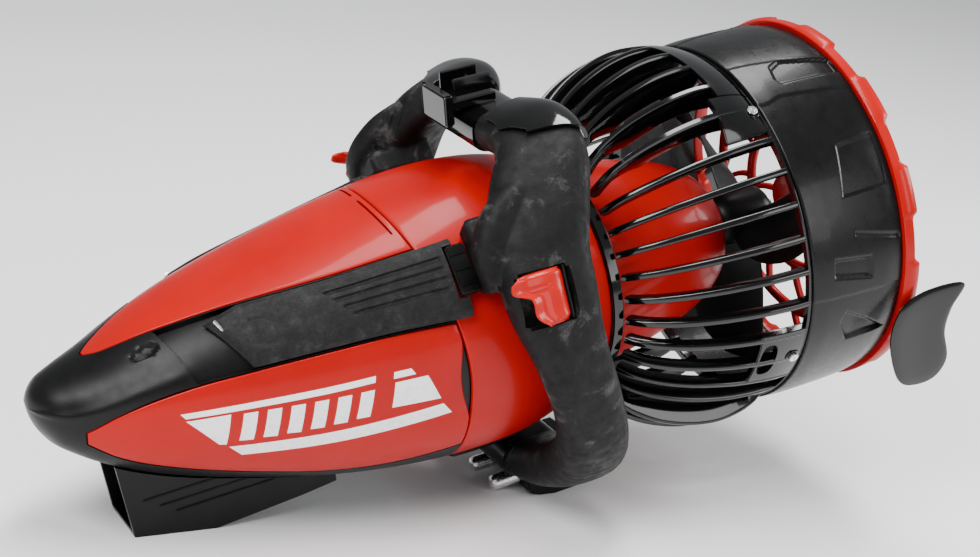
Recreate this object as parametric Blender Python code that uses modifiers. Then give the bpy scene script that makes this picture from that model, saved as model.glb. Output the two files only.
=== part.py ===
"""Underwater scooter (diver propulsion vehicle), in metres, +Z up.

The shapes are written in the shaft frame: the propeller turns about the Y axis through the origin, the nose
points to -Y and the diver's left hand is at +X. One empty then tips that frame nose-down, the way the scooter
stands on its keel skid and its weight holder, and puts the middle of its base at the world's origin.
"""

import math

import bmesh
import bpy
from mathutils import Matrix, Vector

# Driving dimensions
NOSE_Y = -0.356
HULL_END_Y = 0.084
WALL = 0.003
SKIN = 0.0022
GAP = 0.0003
COLLAR_R = 0.089
SHROUD_R = 0.154
SHROUD_FRONT_Y = 0.231
SHROUD_REAR_Y = 0.319
GUARD_REAR_Y = 0.334
GROUND_SLOPE = -0.235
GROUND_Z = -0.1085
GROUND_Y = -0.27
TILT = -math.atan(GROUND_SLOPE)
BASE = Vector((0.0, -0.00963, 0.16739))
SIDES = (("left", 1), ("right", -1))

# Hull stations: y, half width, height of the widest line, top, bottom
HULL = (
    (-0.356, 0.0, 0.018, 0.018, 0.018),
    (-0.345, 0.0255, 0.014, 0.034, -0.013),
    (-0.330, 0.0370, 0.010, 0.040, -0.027),
    (-0.305, 0.0510, 0.006, 0.0485, -0.044),
    (-0.265, 0.0660, 0.004, 0.0665, -0.064),
    (-0.210, 0.0815, 0.002, 0.084, -0.084),
    (-0.150, 0.0945, 0.0, 0.0975, -0.102),
    (-0.090, 0.1040, 0.0, 0.108, -0.114),
    (-0.035, 0.1090, 0.0, 0.114, -0.119),
    (0.015, 0.1080, 0.0, 0.1125, -0.1175),
    (0.055, 0.1000, 0.0, 0.104, -0.106),
    (HULL_END_Y, COLLAR_R, 0.0, COLLAR_R, -COLLAR_R),
)
# Panel edges: y, then degrees round the section from its top
TOP_EDGE = ((-0.313, 0.6), (-0.300, 12.0), (-0.270, 22.0), (-0.223, 29.5), (-0.140, 36.5), (-0.050, 39.0))
BAND_EDGE = ((-0.330, 102.0), (-0.305, 78.5), (-0.265, 69.5), (-0.205, 68.0), (-0.120, 68.5), (-0.050, 71.0))
BELLY_EDGE = (
    (-0.330, 112.0), (-0.305, 126.0), (-0.269, 132.0), (-0.170, 139.0), (-0.114, 139.0), (-0.050, 132.0),
)
SEAM_TOP_Y = -0.079
SEAM_SIDE_Y = -0.050
SEAM_TURN_DEG = 100.0
EDGE_STEP = 0.0004
SIDE_PANEL_Y = -0.325
TOP_PANEL_Y = -0.305
BODY_ROWS = [-0.300, -0.285, -0.270, -0.245, -0.215, -0.180, -0.140, -0.095, SEAM_SIDE_Y]

# Latches
LATCH_FRONT_Y = -0.2300
LATCH_FRONT_LOW_Y = -0.2060
LATCH_REAR_Y = -0.044
LATCH_DEPTH = 0.006
LATCH_CORNER_DEG = 3.5
RECESS_Y = -0.258
LATCH_AXIS = Vector((0.60, 0.45, -0.72)).normalized()

# Handle ring fittings
RAIL_TOP = 0.172
ROD_R = 0.0065
ROD_END_Y = 0.0835

# Cage
COLLAR_FRONT_Y = 0.0845
RIB_START_Y = 0.088
RIB_COUNT = 34
RIB_WIDTH = 0.0055
RIB_DEPTH = 0.010


def clear_scene():
    for old in list(bpy.data.objects):
        bpy.data.objects.remove(old, do_unlink=True)


def new_collection(name, hidden=False):
    made = bpy.data.collections.new(name)
    bpy.context.scene.collection.children.link(made)
    made.hide_render = hidden
    return made


def material(name, colour, roughness, metallic=0.0):
    made = bpy.data.materials.new(name)
    made.use_nodes = True
    shader = made.node_tree.nodes["Principled BSDF"]
    shader.inputs["Base Color"].default_value = (*colour, 1.0)
    shader.inputs["Roughness"].default_value = roughness
    shader.inputs["Metallic"].default_value = metallic
    return made


clear_scene()
PARTS = new_collection("underwater_scooter")
CUTTERS = new_collection("cutters", hidden=True)
RED = material("red_gloss", (0.80, 0.035, 0.015), 0.22)
BLACK = material("black_satin", (0.018, 0.018, 0.019), 0.42)
GLOSS = material("black_gloss", (0.008, 0.008, 0.009), 0.15)
RUBBER = material("grip_rubber", (0.035, 0.034, 0.033), 0.72)
STEEL = material("polished_steel", (0.72, 0.72, 0.70), 0.18, 1.0)
BRASS = material("brass", (0.70, 0.52, 0.22), 0.3, 1.0)
BOARD = material("circuit_board", (0.02, 0.16, 0.07), 0.5)
CELL = material("battery_case", (0.05, 0.06, 0.09), 0.5)

ROOT = bpy.data.objects.new("shaft_frame", None)
PARTS.objects.link(ROOT)
ROOT.location = BASE
ROOT.rotation_euler = (TILT, 0.0, 0.0)


def ground_z(y):
    """Height of the floor in the shaft frame."""
    return GROUND_Z + GROUND_SLOPE * (y - GROUND_Y)


# ---------------------------------------------------------------- making objects


def add_object(name, mesh, look=None, cutter=False, pivot=None):
    """Puts a mesh in the shaft frame. A pivot is a parent empty on the piece's joint axis."""
    made = bpy.data.objects.new(name, mesh)
    if cutter:
        CUTTERS.objects.link(made)
        made.hide_render = True
        made.display_type = "WIRE"
    else:
        PARTS.objects.link(made)
        mesh.materials.append(look)
    made.parent = pivot or ROOT
    if pivot:
        made.location = -pivot.location
    for face in mesh.polygons:
        face.use_smooth = True
    mesh.set_sharp_from_angle(angle=math.radians(30))
    return made


def pivot_at(name, place):
    made = bpy.data.objects.new(name, None)
    PARTS.objects.link(made)
    made.parent = ROOT
    made.location = place
    return made


def finish_mesh(name, bm, merge=1e-6):
    bmesh.ops.remove_doubles(bm, verts=bm.verts, dist=merge)
    bmesh.ops.dissolve_degenerate(bm, edges=bm.edges, dist=1e-7)
    bmesh.ops.recalc_face_normals(bm, faces=bm.faces)
    mesh = bpy.data.meshes.new(name)
    bm.to_mesh(mesh)
    bm.free()
    return mesh


def grid_mesh(name, outer, inner, wrap=False, cap_start=False):
    """A closed body between two grids of points. wrap joins the last column to the first."""
    bm = bmesh.new()
    rows = len(outer)
    cols = len(outer[0])
    out = [[bm.verts.new(p) for p in row] for row in outer]
    inn = [[bm.verts.new(p) for p in row] for row in inner]
    last = cols if wrap else cols - 1
    for i in range(rows - 1):
        for j in range(last):
            k = (j + 1) % cols
            bm.faces.new((out[i][j], out[i][k], out[i + 1][k], out[i + 1][j]))
            bm.faces.new((inn[i][j], inn[i + 1][j], inn[i + 1][k], inn[i][k]))
    ends = [rows - 1] if cap_start else [0, rows - 1]
    for i in ends:
        for j in range(last):
            k = (j + 1) % cols
            bm.faces.new((out[i][j], inn[i][j], inn[i][k], out[i][k]))
    if cap_start:
        bm.faces.new(out[0])
        bm.faces.new(inn[0])
    if not wrap:
        for j in (0, cols - 1):
            for i in range(rows - 1):
                bm.faces.new((out[i][j], out[i + 1][j], inn[i + 1][j], inn[i][j]))
    return finish_mesh(name, bm)


def tube_mesh(name, rings):
    """A solid skinned over rings of points, with flat ends."""
    bm = bmesh.new()
    made = [[bm.verts.new(p) for p in ring] for ring in rings]
    for a, b in zip(made, made[1:]):
        for j in range(len(a)):
            k = (j + 1) % len(a)
            bm.faces.new((a[j], a[k], b[k], b[j]))
    bm.faces.new(made[0])
    bm.faces.new(made[-1])
    return finish_mesh(name, bm)


def box_mesh(name, low, high, round_by=0.0):
    bm = bmesh.new()
    bmesh.ops.create_cube(bm, size=1.0)
    low = Vector(low)
    high = Vector(high)
    for v in bm.verts:
        v.co = Vector((low[i] + (v.co[i] + 0.5) * (high[i] - low[i]) for i in range(3)))
    if round_by:
        bmesh.ops.bevel(bm, geom=bm.edges, offset=round_by, segments=1, affect="EDGES")
    return finish_mesh(name, bm)


def rod_mesh(name, start, end, radius, sides=16, end_radius=None):
    bm = bmesh.new()
    start = Vector(start)
    end = Vector(end)
    turn = Vector((0, 0, 1)).rotation_difference(end - start).to_matrix().to_4x4()
    bmesh.ops.create_cone(
        bm,
        cap_ends=True,
        segments=sides,
        radius1=radius,
        radius2=radius if end_radius is None else end_radius,
        depth=(end - start).length,
        matrix=Matrix.Translation((start + end) / 2) @ turn,
    )
    return finish_mesh(name, bm)


def turned(name, profile, look, steps=32, pivot=None, cutter=False):
    """Turns a closed profile of (radius, y) points about the shaft with a Screw modifier."""
    bm = bmesh.new()
    made = [bm.verts.new((r, y, 0.0)) for r, y in profile]
    for a, b in zip(made, made[1:] + made[:1]):
        if max(a.co.x, b.co.x) > 1e-9:
            bm.edges.new((a, b))
    mesh = bpy.data.meshes.new(name)
    bm.to_mesh(mesh)
    bm.free()
    made = add_object(name, mesh, look, cutter=cutter, pivot=pivot)
    pairs = zip(profile, profile[1:] + profile[:1])
    area = sum(a[0] * b[1] - b[0] * a[1] for a, b in pairs)
    screw = made.modifiers.new("Turn", "SCREW")
    screw.axis = "Y"
    screw.steps = steps
    screw.render_steps = steps
    screw.use_merge_vertices = True
    screw.merge_threshold = 0.00001
    screw.use_normal_calculate = False
    screw.use_normal_flip = area > 0
    return made


def cut(target, *cutters, join=False):
    for cutter in cutters:
        change = target.modifiers.new("Join" if join else "Cut", "BOOLEAN")
        change.operation = "UNION" if join else "DIFFERENCE"
        change.solver = "EXACT"
        change.object = cutter
    return target


def cutter_box(name, low, high):
    return add_object(name, box_mesh(name, low, high), cutter=True)


def cutter_rod(name, start, end, radius, sides=16):
    return add_object(name, rod_mesh(name, start, end, radius, sides), cutter=True)


# ---------------------------------------------------------------- the hull's form


def smooth_through(stations, x, column):
    """A smooth curve through hand-set stations, each (x, value, ...)."""
    if x <= stations[0][0]:
        return stations[0][column]
    if x >= stations[-1][0]:
        return stations[-1][column]
    i = max(k for k in range(len(stations) - 1) if stations[k][0] <= x)

    def slope(k):
        a = stations[max(k - 1, 0)]
        b = stations[min(k + 1, len(stations) - 1)]
        return (b[column] - a[column]) / (b[0] - a[0])

    a = stations[i]
    b = stations[i + 1]
    span = b[0] - a[0]
    t = (x - a[0]) / span
    rise = (2 * t**3 - 3 * t**2 + 1) * a[column] + (3 * t**2 - 2 * t**3) * b[column]
    return rise + span * ((t**3 - 2 * t**2 + t) * slope(i) + (t**3 - t**2) * slope(i + 1))


def nose_root(y):
    """The nose is round, so its stations are spaced by the root of the distance from its tip."""
    return math.sqrt(max(y - NOSE_Y, 0.0))


ROOTED_HULL = tuple((nose_root(row[0]), *row[1:]) for row in HULL)


def hull_point(y, degrees, inset=0.0):
    """A point of the hull's surface, moved in by inset. Degrees run from the top to the left side."""
    x = nose_root(y)
    width, middle, top, bottom = (smooth_through(ROOTED_HULL, x, c) for c in (1, 2, 3, 4))
    turn = math.radians(degrees)
    reach = top - middle if math.cos(turn) >= 0 else middle - bottom
    across = max(width - inset, width * 0.3)
    up = max(reach - inset, reach * 0.3)
    return Vector((across * math.sin(turn), y, middle + up * math.cos(turn)))


def seam_y(degrees):
    """The joint between nose and hull sweeps back from the top to the sides."""
    t = min(abs(degrees) / SEAM_TURN_DEG, 1.0)
    t = t * t * (3 - 2 * t)
    return SEAM_TOP_Y + (SEAM_SIDE_Y - SEAM_TOP_Y) * t


def nose_y(plain_y, degrees):
    """Where the row of the nose that lies at plain_y on the sides crosses this angle."""
    along = (plain_y - NOSE_Y) / (SEAM_SIDE_Y - NOSE_Y)
    return NOSE_Y + (seam_y(degrees) - NOSE_Y) * along


def row_crossing(edge, plain_y):
    """The angle at which a row of the nose crosses a panel's edge."""
    degrees = 60.0
    for _ in range(5):
        degrees = smooth_through(edge, nose_y(plain_y, degrees), 1)
    return degrees


def spaced(start, end, count):
    return [start + (end - start) * i / (count - 1) for i in range(count)]


def mirrored(half):
    """Angles on the left side, from 0 to 180, and then the right side's."""
    return half + [-a for a in reversed(half[1:-1])]


# ---------------------------------------------------------------- nose


def edge_degrees(y):
    """The angle that a recess's wall takes up at this place."""
    return math.degrees(EDGE_STEP / smooth_through(ROOTED_HULL, nose_root(y), 1))


def nose_frame_columns(y):
    """(degrees, recess) round half the nose frame: recesses for the top skin, the latch and the side skin."""
    edge = edge_degrees(y)
    top = max(row_crossing(TOP_EDGE, y), 2.5 * edge)
    band = row_crossing(BAND_EDGE, y)
    belly = row_crossing(BELLY_EDGE, y)
    skin = SKIN + 4 * GAP
    top_skin = skin * min(1.0, top / 4.0) if y > TOP_PANEL_Y - 0.001 else 0.0
    side_skin = skin if y > SIDE_PANEL_Y - 0.001 else 0.0
    low = top + 3 * edge
    high = band - 3 * edge
    latch = LATCH_DEPTH if y > RECESS_Y else 0.0
    return (
        [(0.0, top_skin), (top / 2, top_skin), (top - edge, top_skin), (top + edge, 0.0)]
        + [(low - edge, 0.0), (low + edge, latch)]
        + [(low + (high - low) * k / 3, latch) for k in (1, 2)]
        + [(high - edge, latch), (high + edge, 0.0)]
        + [(band - edge, 0.0), (band + edge, side_skin)]
        + [(band + (belly - band) * k / 4, side_skin) for k in (1, 2, 3)]
        + [(belly - edge, side_skin), (belly + edge, 0.0), ((belly + 180) / 2, 0.0), (180.0, 0.0)]
    )


def nose_rows():
    step = 0.0003
    near_tip = [NOSE_Y + 0.0006, NOSE_Y + 0.003, -0.348, -0.339]
    side_step = [SIDE_PANEL_Y - 0.001 - step, SIDE_PANEL_Y - 0.001 + step]
    top_step = [TOP_PANEL_Y - 0.001 - step, TOP_PANEL_Y - 0.001 + step]
    recess_step = [RECESS_Y - step, RECESS_Y + step]
    return near_tip + side_step + top_step + BODY_ROWS[:3] + recess_step + BODY_ROWS[3:]


def make_nose_frame():
    outer = []
    inner = []
    for y in nose_rows():
        half = nose_frame_columns(y)
        ring = half + [(-a, r) for a, r in reversed(half[1:-1])]
        thick = WALL * 1.2
        back = 0.0035 * (1 - (y - NOSE_Y) / (SEAM_SIDE_Y - NOSE_Y))
        outer.append([hull_point(nose_y(y, a), a, r) for a, r in ring])
        inner.append([hull_point(nose_y(y, a), a, r + thick) + Vector((0, back, 0)) for a, r in ring])
    return add_object("nose_frame", grid_mesh("nose_frame", outer, inner, wrap=True, cap_start=True), BLACK)


def make_skin(name, rows, edges, look):
    """A thin moulded skin on the nose, between two angles that change along it."""
    outer = []
    inner = []
    for y in rows:
        low, high = edges(y)
        angles = spaced(low, high, 9)
        outer.append([hull_point(nose_y(y, a), a) for a in angles])
        inner.append([hull_point(nose_y(y, a), a, SKIN) for a in angles])
    return add_object(name, grid_mesh(name, outer, inner), look)


def make_nose_skins():
    rows = [TOP_PANEL_Y] + BODY_ROWS

    def top_edges(y):
        reach = row_crossing(TOP_EDGE, y) - 2.2 * edge_degrees(y)
        return -reach, reach

    make_skin("nose_top_panel", rows, top_edges, RED)
    rows = [SIDE_PANEL_Y, TOP_PANEL_Y] + BODY_ROWS
    for side, sign in SIDES:

        def side_edges(y):
            low = row_crossing(BAND_EDGE, y) + 2.2 * edge_degrees(y)
            high = row_crossing(BELLY_EDGE, y) - 2.2 * edge_degrees(y)
            return sign * low, sign * high

        make_skin(f"nose_side_panel_{side}", rows, side_edges, RED)


def make_keel_skid():
    """A hollow foot under the nose, open in front and on top, with its sole on the floor."""
    half = 0.026
    wall = 0.0035
    rear = -0.135
    top = [(y, side_wall_top(y, half - wall)) for y in (-0.306, -0.28, -0.25, -0.21, -0.17, rear)]
    foot = [(rear, -0.1095), (-0.165, -0.1125), (-0.236, ground_z(-0.236)), (-0.300, ground_z(-0.300))]
    outline = top + foot
    outer = [[Vector((x, y, z)) for y, z in outline] for x in (-half, half)]
    made = add_object("keel_skid", tube_mesh("keel_skid", outer), BLACK)
    inside = []
    for x in (-half + wall, half - wall):
        ring = [(-0.33, 0.03), (rear + 0.01, 0.03), (rear + 0.01, -0.1062), (-0.167, -0.109)]
        ring += [(-0.237, ground_z(-0.237) + wall), (-0.33, ground_z(-0.33) + wall)]
        inside.append([Vector((x, y, z)) for y, z in ring])
    hollow = add_object("skid_hollow", tube_mesh("skid_hollow", inside), cutter=True)
    return cut(made, hollow)


def side_wall_top(y, x):
    """The hull's underside at this distance from its middle, less the fitting gap."""
    width, middle, bottom = (smooth_through(ROOTED_HULL, nose_root(y), c) for c in (1, 2, 4))
    depth = middle - bottom
    return middle - depth * math.sqrt(max(0.0, 1 - (x / width) ** 2)) - 2 * GAP


def latch_edges(y):
    low = smooth_through(TOP_EDGE, y, 1) + 5.5 * edge_degrees(y)
    high = smooth_through(BAND_EDGE, y, 1) - 5.5 * edge_degrees(y)
    return low, high


LATCH_OUTER = ((0.0, -0.0012), (0.05, -0.0022), (0.5, -0.003), (0.85, -0.0055), (1.0, -0.008))
LATCH_INNER = ((0.0, 0.0018), (0.05, 0.0048), (0.5, 0.0050), (0.74, 0.0048), (0.83, -0.0014), (1.0, -0.0014))


def latch_pin_point(share):
    """A point on the latch's pin, from 0 at its upper end to 1 at its lower end."""
    low, high = latch_edges(LATCH_FRONT_Y)
    middle = hull_point(-0.2155, (low + high) / 2, 0.0012)
    return middle + LATCH_AXIS * (share - 0.5) * 0.036


def make_latch(side, sign):
    pivot = pivot_at(f"latch_{side}_pivot", mirror_x(latch_pin_point(0.5), sign))
    outer = []
    inner = []
    for share in (0.0, 0.05, 0.25, 0.5, 0.74, 0.83, 0.92, 1.0):
        out_row = []
        in_row = []
        for k in range(7):
            front = LATCH_FRONT_Y + (LATCH_FRONT_LOW_Y - LATCH_FRONT_Y) * k / 6
            y = front + (LATCH_REAR_Y - front) * share
            low, high = latch_edges(y)
            low += LATCH_CORNER_DEG * max(0.0, 1 - share / 0.12)
            angle = low + (high - low) * k / 6
            out_row.append(mirror_x(hull_point(y, angle, smooth_through(LATCH_OUTER, share, 1)), sign))
            in_row.append(mirror_x(hull_point(y, angle, linear(LATCH_INNER, share)), sign))
        outer.append(out_row)
        inner.append(in_row)
    name = f"latch_lever_{side}"
    lever = add_object(name, grid_mesh(name, outer, inner), RUBBER, pivot=pivot)
    notch = cutter_box(f"notch_{side}", (-0.0203, -0.008, -0.03), (0.0203, 0.04, 0.03))
    centre = hull_point(LATCH_REAR_Y, 52.8)
    notch.location = mirror_x(centre, sign)
    notch.rotation_euler = (0.0, sign * math.radians(50.0), 0.0)
    bore = [mirror_x(latch_pin_point(share), sign) for share in (-0.3, 1.3)]
    hole = cutter_rod(f"latch_bore_{side}", *bore, 0.00175, 12)
    cut(lever, notch, hole)
    pin = [mirror_x(latch_pin_point(share), sign) for share in (0.02, 0.98)]
    add_object(f"latch_pin_{side}", rod_mesh("pin", *pin, 0.0014, 12), STEEL)


def make_latch_catch(side, sign):
    """The block on the hull that the latch's fork closes round."""
    name = f"latch_catch_{side}"
    block = box_mesh(name, (-0.0195, -0.0065, 0.0026), (0.0195, 0.0092, 0.0085), 0.0012)
    catch = add_object(name, block, BLACK)
    catch.location = mirror_x(hull_point(LATCH_REAR_Y, 52.8), sign)
    catch.rotation_euler = (0.0, sign * math.radians(50.0), 0.0)


def linear(stations, x):
    for a, b in zip(stations, stations[1:]):
        if x <= b[0]:
            return a[1] + (b[1] - a[1]) * (x - a[0]) / (b[0] - a[0])
    return stations[-1][1]


def mirror_x(point, sign):
    return Vector((point.x * sign, point.y, point.z))


# ---------------------------------------------------------------- hull


def make_main_hull():
    half = [0, 9, 18, 27, 36, 45, 54, 63, 72, 84, 96, 108, 120, 135, 150, 165, 180]
    ring = mirrored(half)
    outer = []
    inner = []
    for share in (0.0, 0.15, 0.33, 0.5, 0.67, 0.82, 0.93, 1.0):
        ys = [seam_y(a) + 0.001 + (HULL_END_Y - seam_y(a) - 0.001) * share for a in ring]
        outer.append([hull_point(y, a) for y, a in zip(ys, ring)])
        inner.append([hull_point(y, a, WALL * 1.1) for y, a in zip(ys, ring)])
    add_object("main_hull", grid_mesh("main_hull", outer, inner, wrap=True), RED)


def hull_ring(name, look, y_low, y_high, out_inset, in_inset, rows=2):
    """A ring that follows the inside of the hull between two planes."""
    ring = mirrored([0, 15, 30, 45, 60, 75, 90, 105, 120, 135, 150, 165, 180])
    outer = []
    inner = []
    for y in spaced(y_low, y_high, rows):
        outer.append([hull_point(y, a, out_inset) for a in ring])
        inner.append([hull_point(y, a, in_inset) for a in ring])
    return add_object(name, grid_mesh(name, outer, inner, wrap=True), look)


def hull_plate(name, look, y_low, y_high, inset):
    ring = mirrored([0, 15, 30, 45, 60, 75, 90, 105, 120, 135, 150, 165, 180])
    rings = [[hull_point(y, a, inset) for a in ring] for y in (y_low, y_high)]
    return add_object(name, tube_mesh(name, rings), look)


def make_inside():
    """The sealed inner pieces: bulkhead and its seal, battery and its plug, controller."""
    bulkhead = hull_plate("bulkhead", BLACK, -0.034, -0.030, 0.0062)
    spigot = hull_ring("bulkhead_spigot", BLACK, -0.100, -0.0345, 0.0125, 0.0160)
    cable_way = cutter_rod("cable_way", (0, -0.06, 0), (0, 0, 0), 0.012)
    cut(bulkhead, cable_way)
    hull_ring("bulkhead_seal", RUBBER, -0.1035, -0.1005, 0.0106, 0.0150)
    pack = box_mesh("battery_pack", (-0.044, -0.245, -0.034), (0.044, -0.112, 0.036), 0.006)
    add_object("battery_pack", pack, CELL)
    cradle = box_mesh("battery_cradle", (-0.040, -0.240, -0.0395), (0.040, -0.0605, -0.0345))
    add_object("battery_cradle", cradle, BLACK)
    plug_profile = [(0.0, -0.1115), (0.010, -0.1115), (0.010, -0.095), (0.006, -0.090), (0.0, -0.090)]
    plug = turned("battery_plug", plug_profile, BRASS, 16)
    plug.location.z = 0.004
    board = box_mesh("controller_board", (-0.040, -0.026, -0.030), (0.040, -0.024, 0.030))
    add_object("controller_board", board, BOARD)


def make_belly():
    """The saddle under the hull that carries the handle ring."""
    angles = spaced(158.0, 202.0, 9)
    outer = [[hull_point(y, a, -0.0035) for a in angles] for y in spaced(-0.040, 0.050, 5)]
    inner = [[hull_point(y, a, -4 * GAP) for a in angles] for y in spaced(-0.040, 0.050, 5)]
    add_object("handle_saddle", grid_mesh("handle_saddle", outer, inner), BLACK)


# ---------------------------------------------------------------- handle ring

# Half the ring: centre, half its fore-and-aft size, half its thickness, and how far its rear edge is raised
RING = (
    ((0.034, 0.030, 0.1500), 0.026, 0.0165, 0.0),
    ((0.060, 0.038, 0.1480), 0.032, 0.0180, 8.0),
    ((0.085, 0.033, 0.1365), 0.035, 0.0190, 19.0),
    ((0.103, 0.018, 0.1105), 0.038, 0.0195, 21.0),
    ((0.120, 0.009, 0.0810), 0.036, 0.0205, 12.0),
    ((0.137, 0.007, 0.0500), 0.035, 0.0200, 4.0),
    ((0.144, 0.015, 0.0100), 0.029, 0.0180, 0.0),
    ((0.141, 0.028, -0.0350), 0.027, 0.0180, 0.0),
    ((0.130, 0.038, -0.0750), 0.028, 0.0200, 0.0),
    ((0.105, 0.045, -0.1080), 0.030, 0.0220, 0.0),
    ((0.070, 0.041, -0.1290), 0.030, 0.0200, 0.0),
    ((0.036, 0.035, -0.1390), 0.028, 0.0160, 0.0),
)
RING_ROWS = tuple((k, *row[0], *row[1:]) for k, row in enumerate(RING))


def ring_section(centre, along, wide, thick, roll=0.0, sides=12, power=0.8):
    """A rounded section square to the ring. Its long side lies fore and aft, rolled about the ring's line."""
    fore = Vector((0, 1, 0)) - along * along.y
    fore.normalize()
    out = along.cross(fore)
    lean = math.radians(roll)
    fore, out = fore * math.cos(lean) + out * math.sin(lean), out * math.cos(lean) - fore * math.sin(lean)
    points = []
    for k in range(sides):
        turn = 2 * math.pi * k / sides
        c = math.copysign(abs(math.cos(turn)) ** power, math.cos(turn))
        s = math.copysign(abs(math.sin(turn)) ** power, math.sin(turn))
        points.append(centre + fore * wide * c + out * thick * s)
    return points


def ring_point(place):
    """Centre, direction, half width, half thickness and roll of the ring here, counted in stations."""

    def at(x):
        return [smooth_through(RING_ROWS, x, c) for c in range(1, 7)]

    here = at(place)
    before = Vector(at(max(place - 0.05, 0))[:3])
    after = Vector(at(min(place + 0.05, len(RING) - 1))[:3])
    return Vector(here[:3]), (after - before).normalized(), here[3], here[4], here[5]


# Triggers: a face point on the grip, and the directions along the trigger and out of the grip
TRIGGER_FACE = Vector((0.1532, 0.0, 0.0630))
TRIGGER_UP = Vector((-0.35, 0.0, 0.937)).normalized()
TRIGGER_OUT = Vector((0.937, 0.0, 0.35)).normalized()
TRIGGER_HALF = 0.020
TRIGGER_PIN = (-0.0060, 0.0140)
# Its outline as (height above the grip, y), and how far it reaches forward along its length
TRIGGER_OUTLINE = (
    (-0.0085, 0.0110), (-0.0040, 0.0110), (0.0005, 0.0035), (0.0025, -0.0080), (0.0035, -0.0190),
    (0.0075, -0.0290), (0.0055, -0.0300), (0.0000, -0.0215), (-0.0035, -0.0210), (-0.0055, -0.0080),
    (-0.0085, 0.0040),
)
TRIGGER_REACH = ((-0.020, 0.55), (-0.011, 0.76), (0.003, 0.80), (0.009, 1.10), (0.015, 1.12), (0.020, 1.04))
# The pockets that a trigger moves in: two corners as (height, y), and their reach along the trigger
POCKETS = (
    ((-0.0175, -0.0240), (0.03, 0.0175), (-0.0214, 0.0214)),
    ((-0.0095, -0.0380), (0.04, -0.0200), (0.0005, 0.0222)),
)
# The web from the ring's shoulder down to its arm on the hull: centre, half size fore and aft, half thickness
WEB = (
    ((0.0980, 0.010, 0.1240), 0.014, 0.0110),
    ((0.1030, -0.007, 0.1080), 0.021, 0.0130),
    ((0.1090, -0.017, 0.0880), 0.024, 0.0140),
    ((0.1150, -0.017, 0.0660), 0.020, 0.0130),
)


def trigger_point(out, y, up, sign):
    place = TRIGGER_FACE + TRIGGER_OUT * out + TRIGGER_UP * up
    return Vector((sign * place.x, y, place.z))


def trigger_block(name, low, high, ups, sign):
    """A block in the trigger's own directions, between two corners given as (height, y)."""
    corners = ((low[0], low[1]), (high[0], low[1]), (high[0], high[1]), (low[0], high[1]))
    rings = [[trigger_point(out, y, up, sign) for out, y in corners] for up in ups]
    return tube_mesh(name, rings)


def make_grip(side, sign):
    rings = []
    last = 2 * len(RING) - 2
    for k in range(last + 1):
        centre, along, wide, thick, roll = ring_point(k / 2)
        if k in (0, last):
            along = Vector((1 if k == 0 else -1, 0, 0))
        rings.append([mirror_x(p, sign) for p in ring_section(centre, along, wide, thick, roll)])
    grip = add_object(f"grip_{side}", tube_mesh("grip", rings), RUBBER)
    angles = spaced(38.0, 64.0, 5)
    ys = spaced(-0.034, 0.020, 3)
    outer = [[mirror_x(hull_point(y, a, -0.022 - 0.06 * max(y, 0)), sign) for a in angles] for y in ys]
    inner = [[mirror_x(hull_point(y, a, -0.0012), sign) for a in angles] for y in ys]
    cut(grip, add_object(f"arm_{side}", grid_mesh("arm", outer, inner), cutter=True), join=True)
    web = []
    for k, (centre, wide, thick) in enumerate(WEB):
        before = Vector(WEB[max(k - 1, 0)][0])
        after = Vector(WEB[min(k + 1, len(WEB) - 1)][0])
        points = ring_section(Vector(centre), (after - before).normalized(), wide, thick)
        web.append([mirror_x(p, sign) for p in points])
    cut(grip, add_object(f"web_{side}", tube_mesh("web", web), cutter=True), join=True)
    deep, shallow = (
        add_object(f"pocket_{k}_{side}", trigger_block("pocket", *pocket, sign), cutter=True)
        for k, pocket in enumerate(POCKETS)
    )
    cut(deep, shallow, join=True)
    cut(grip, deep)


def make_trigger(side, sign):
    """The red throttle: a curved pad with a finger lip in front, its pin, and the leaf spring behind it."""
    pivot = pivot_at(f"trigger_{side}_pivot", trigger_point(*TRIGGER_PIN, 0.0, sign))
    rings = []
    for up, reach in TRIGGER_REACH:
        start = TRIGGER_OUTLINE[0][1]
        outline = [(out, start + (y - start) * reach) for out, y in TRIGGER_OUTLINE]
        rings.append([trigger_point(out, y, up, sign) for out, y in outline])
    add_object(f"trigger_{side}", tube_mesh("trigger", rings), RED, pivot=pivot)
    ends = [trigger_point(*TRIGGER_PIN, up, sign) for up in (-TRIGGER_HALF, TRIGGER_HALF)]
    add_object(f"trigger_pin_{side}", rod_mesh("pin", *ends, 0.0015, 12), STEEL)
    leaf = trigger_block("spring", (-0.0170, -0.012), (-0.0164, 0.010), (-0.005, 0.005), sign)
    add_object(f"trigger_spring_{side}", leaf, STEEL)


def bridge(name, look, centre, half_length, wide, thick):
    """A straight length of the ring across the middle."""
    places = [Vector((half_length * share, *centre)) for share in (-1.0, -0.5, 0.0, 0.5, 1.0)]
    rings = [ring_section(place, Vector((1, 0, 0)), wide, thick) for place in places]
    add_object(name, tube_mesh(name, rings), look)


def make_shoulder_cover(side, sign):
    """A glossy cap over the top of each grip, next to the bridge."""
    outer = []
    inner = []
    for place in (0.1, 0.6, 1.1, 1.6):
        centre, along, wide, thick, roll = ring_point(place)
        for row, grow in ((outer, 0.0042), (inner, 0.0012)):
            points = ring_section(centre, along, wide + grow, thick + grow, roll, 24)
            row.append([mirror_x(p, sign) for p in points[23:24] + points[0:10]])
    name = f"shoulder_cover_{side}"
    add_object(name, grid_mesh(name, outer, inner), GLOSS)


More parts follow.
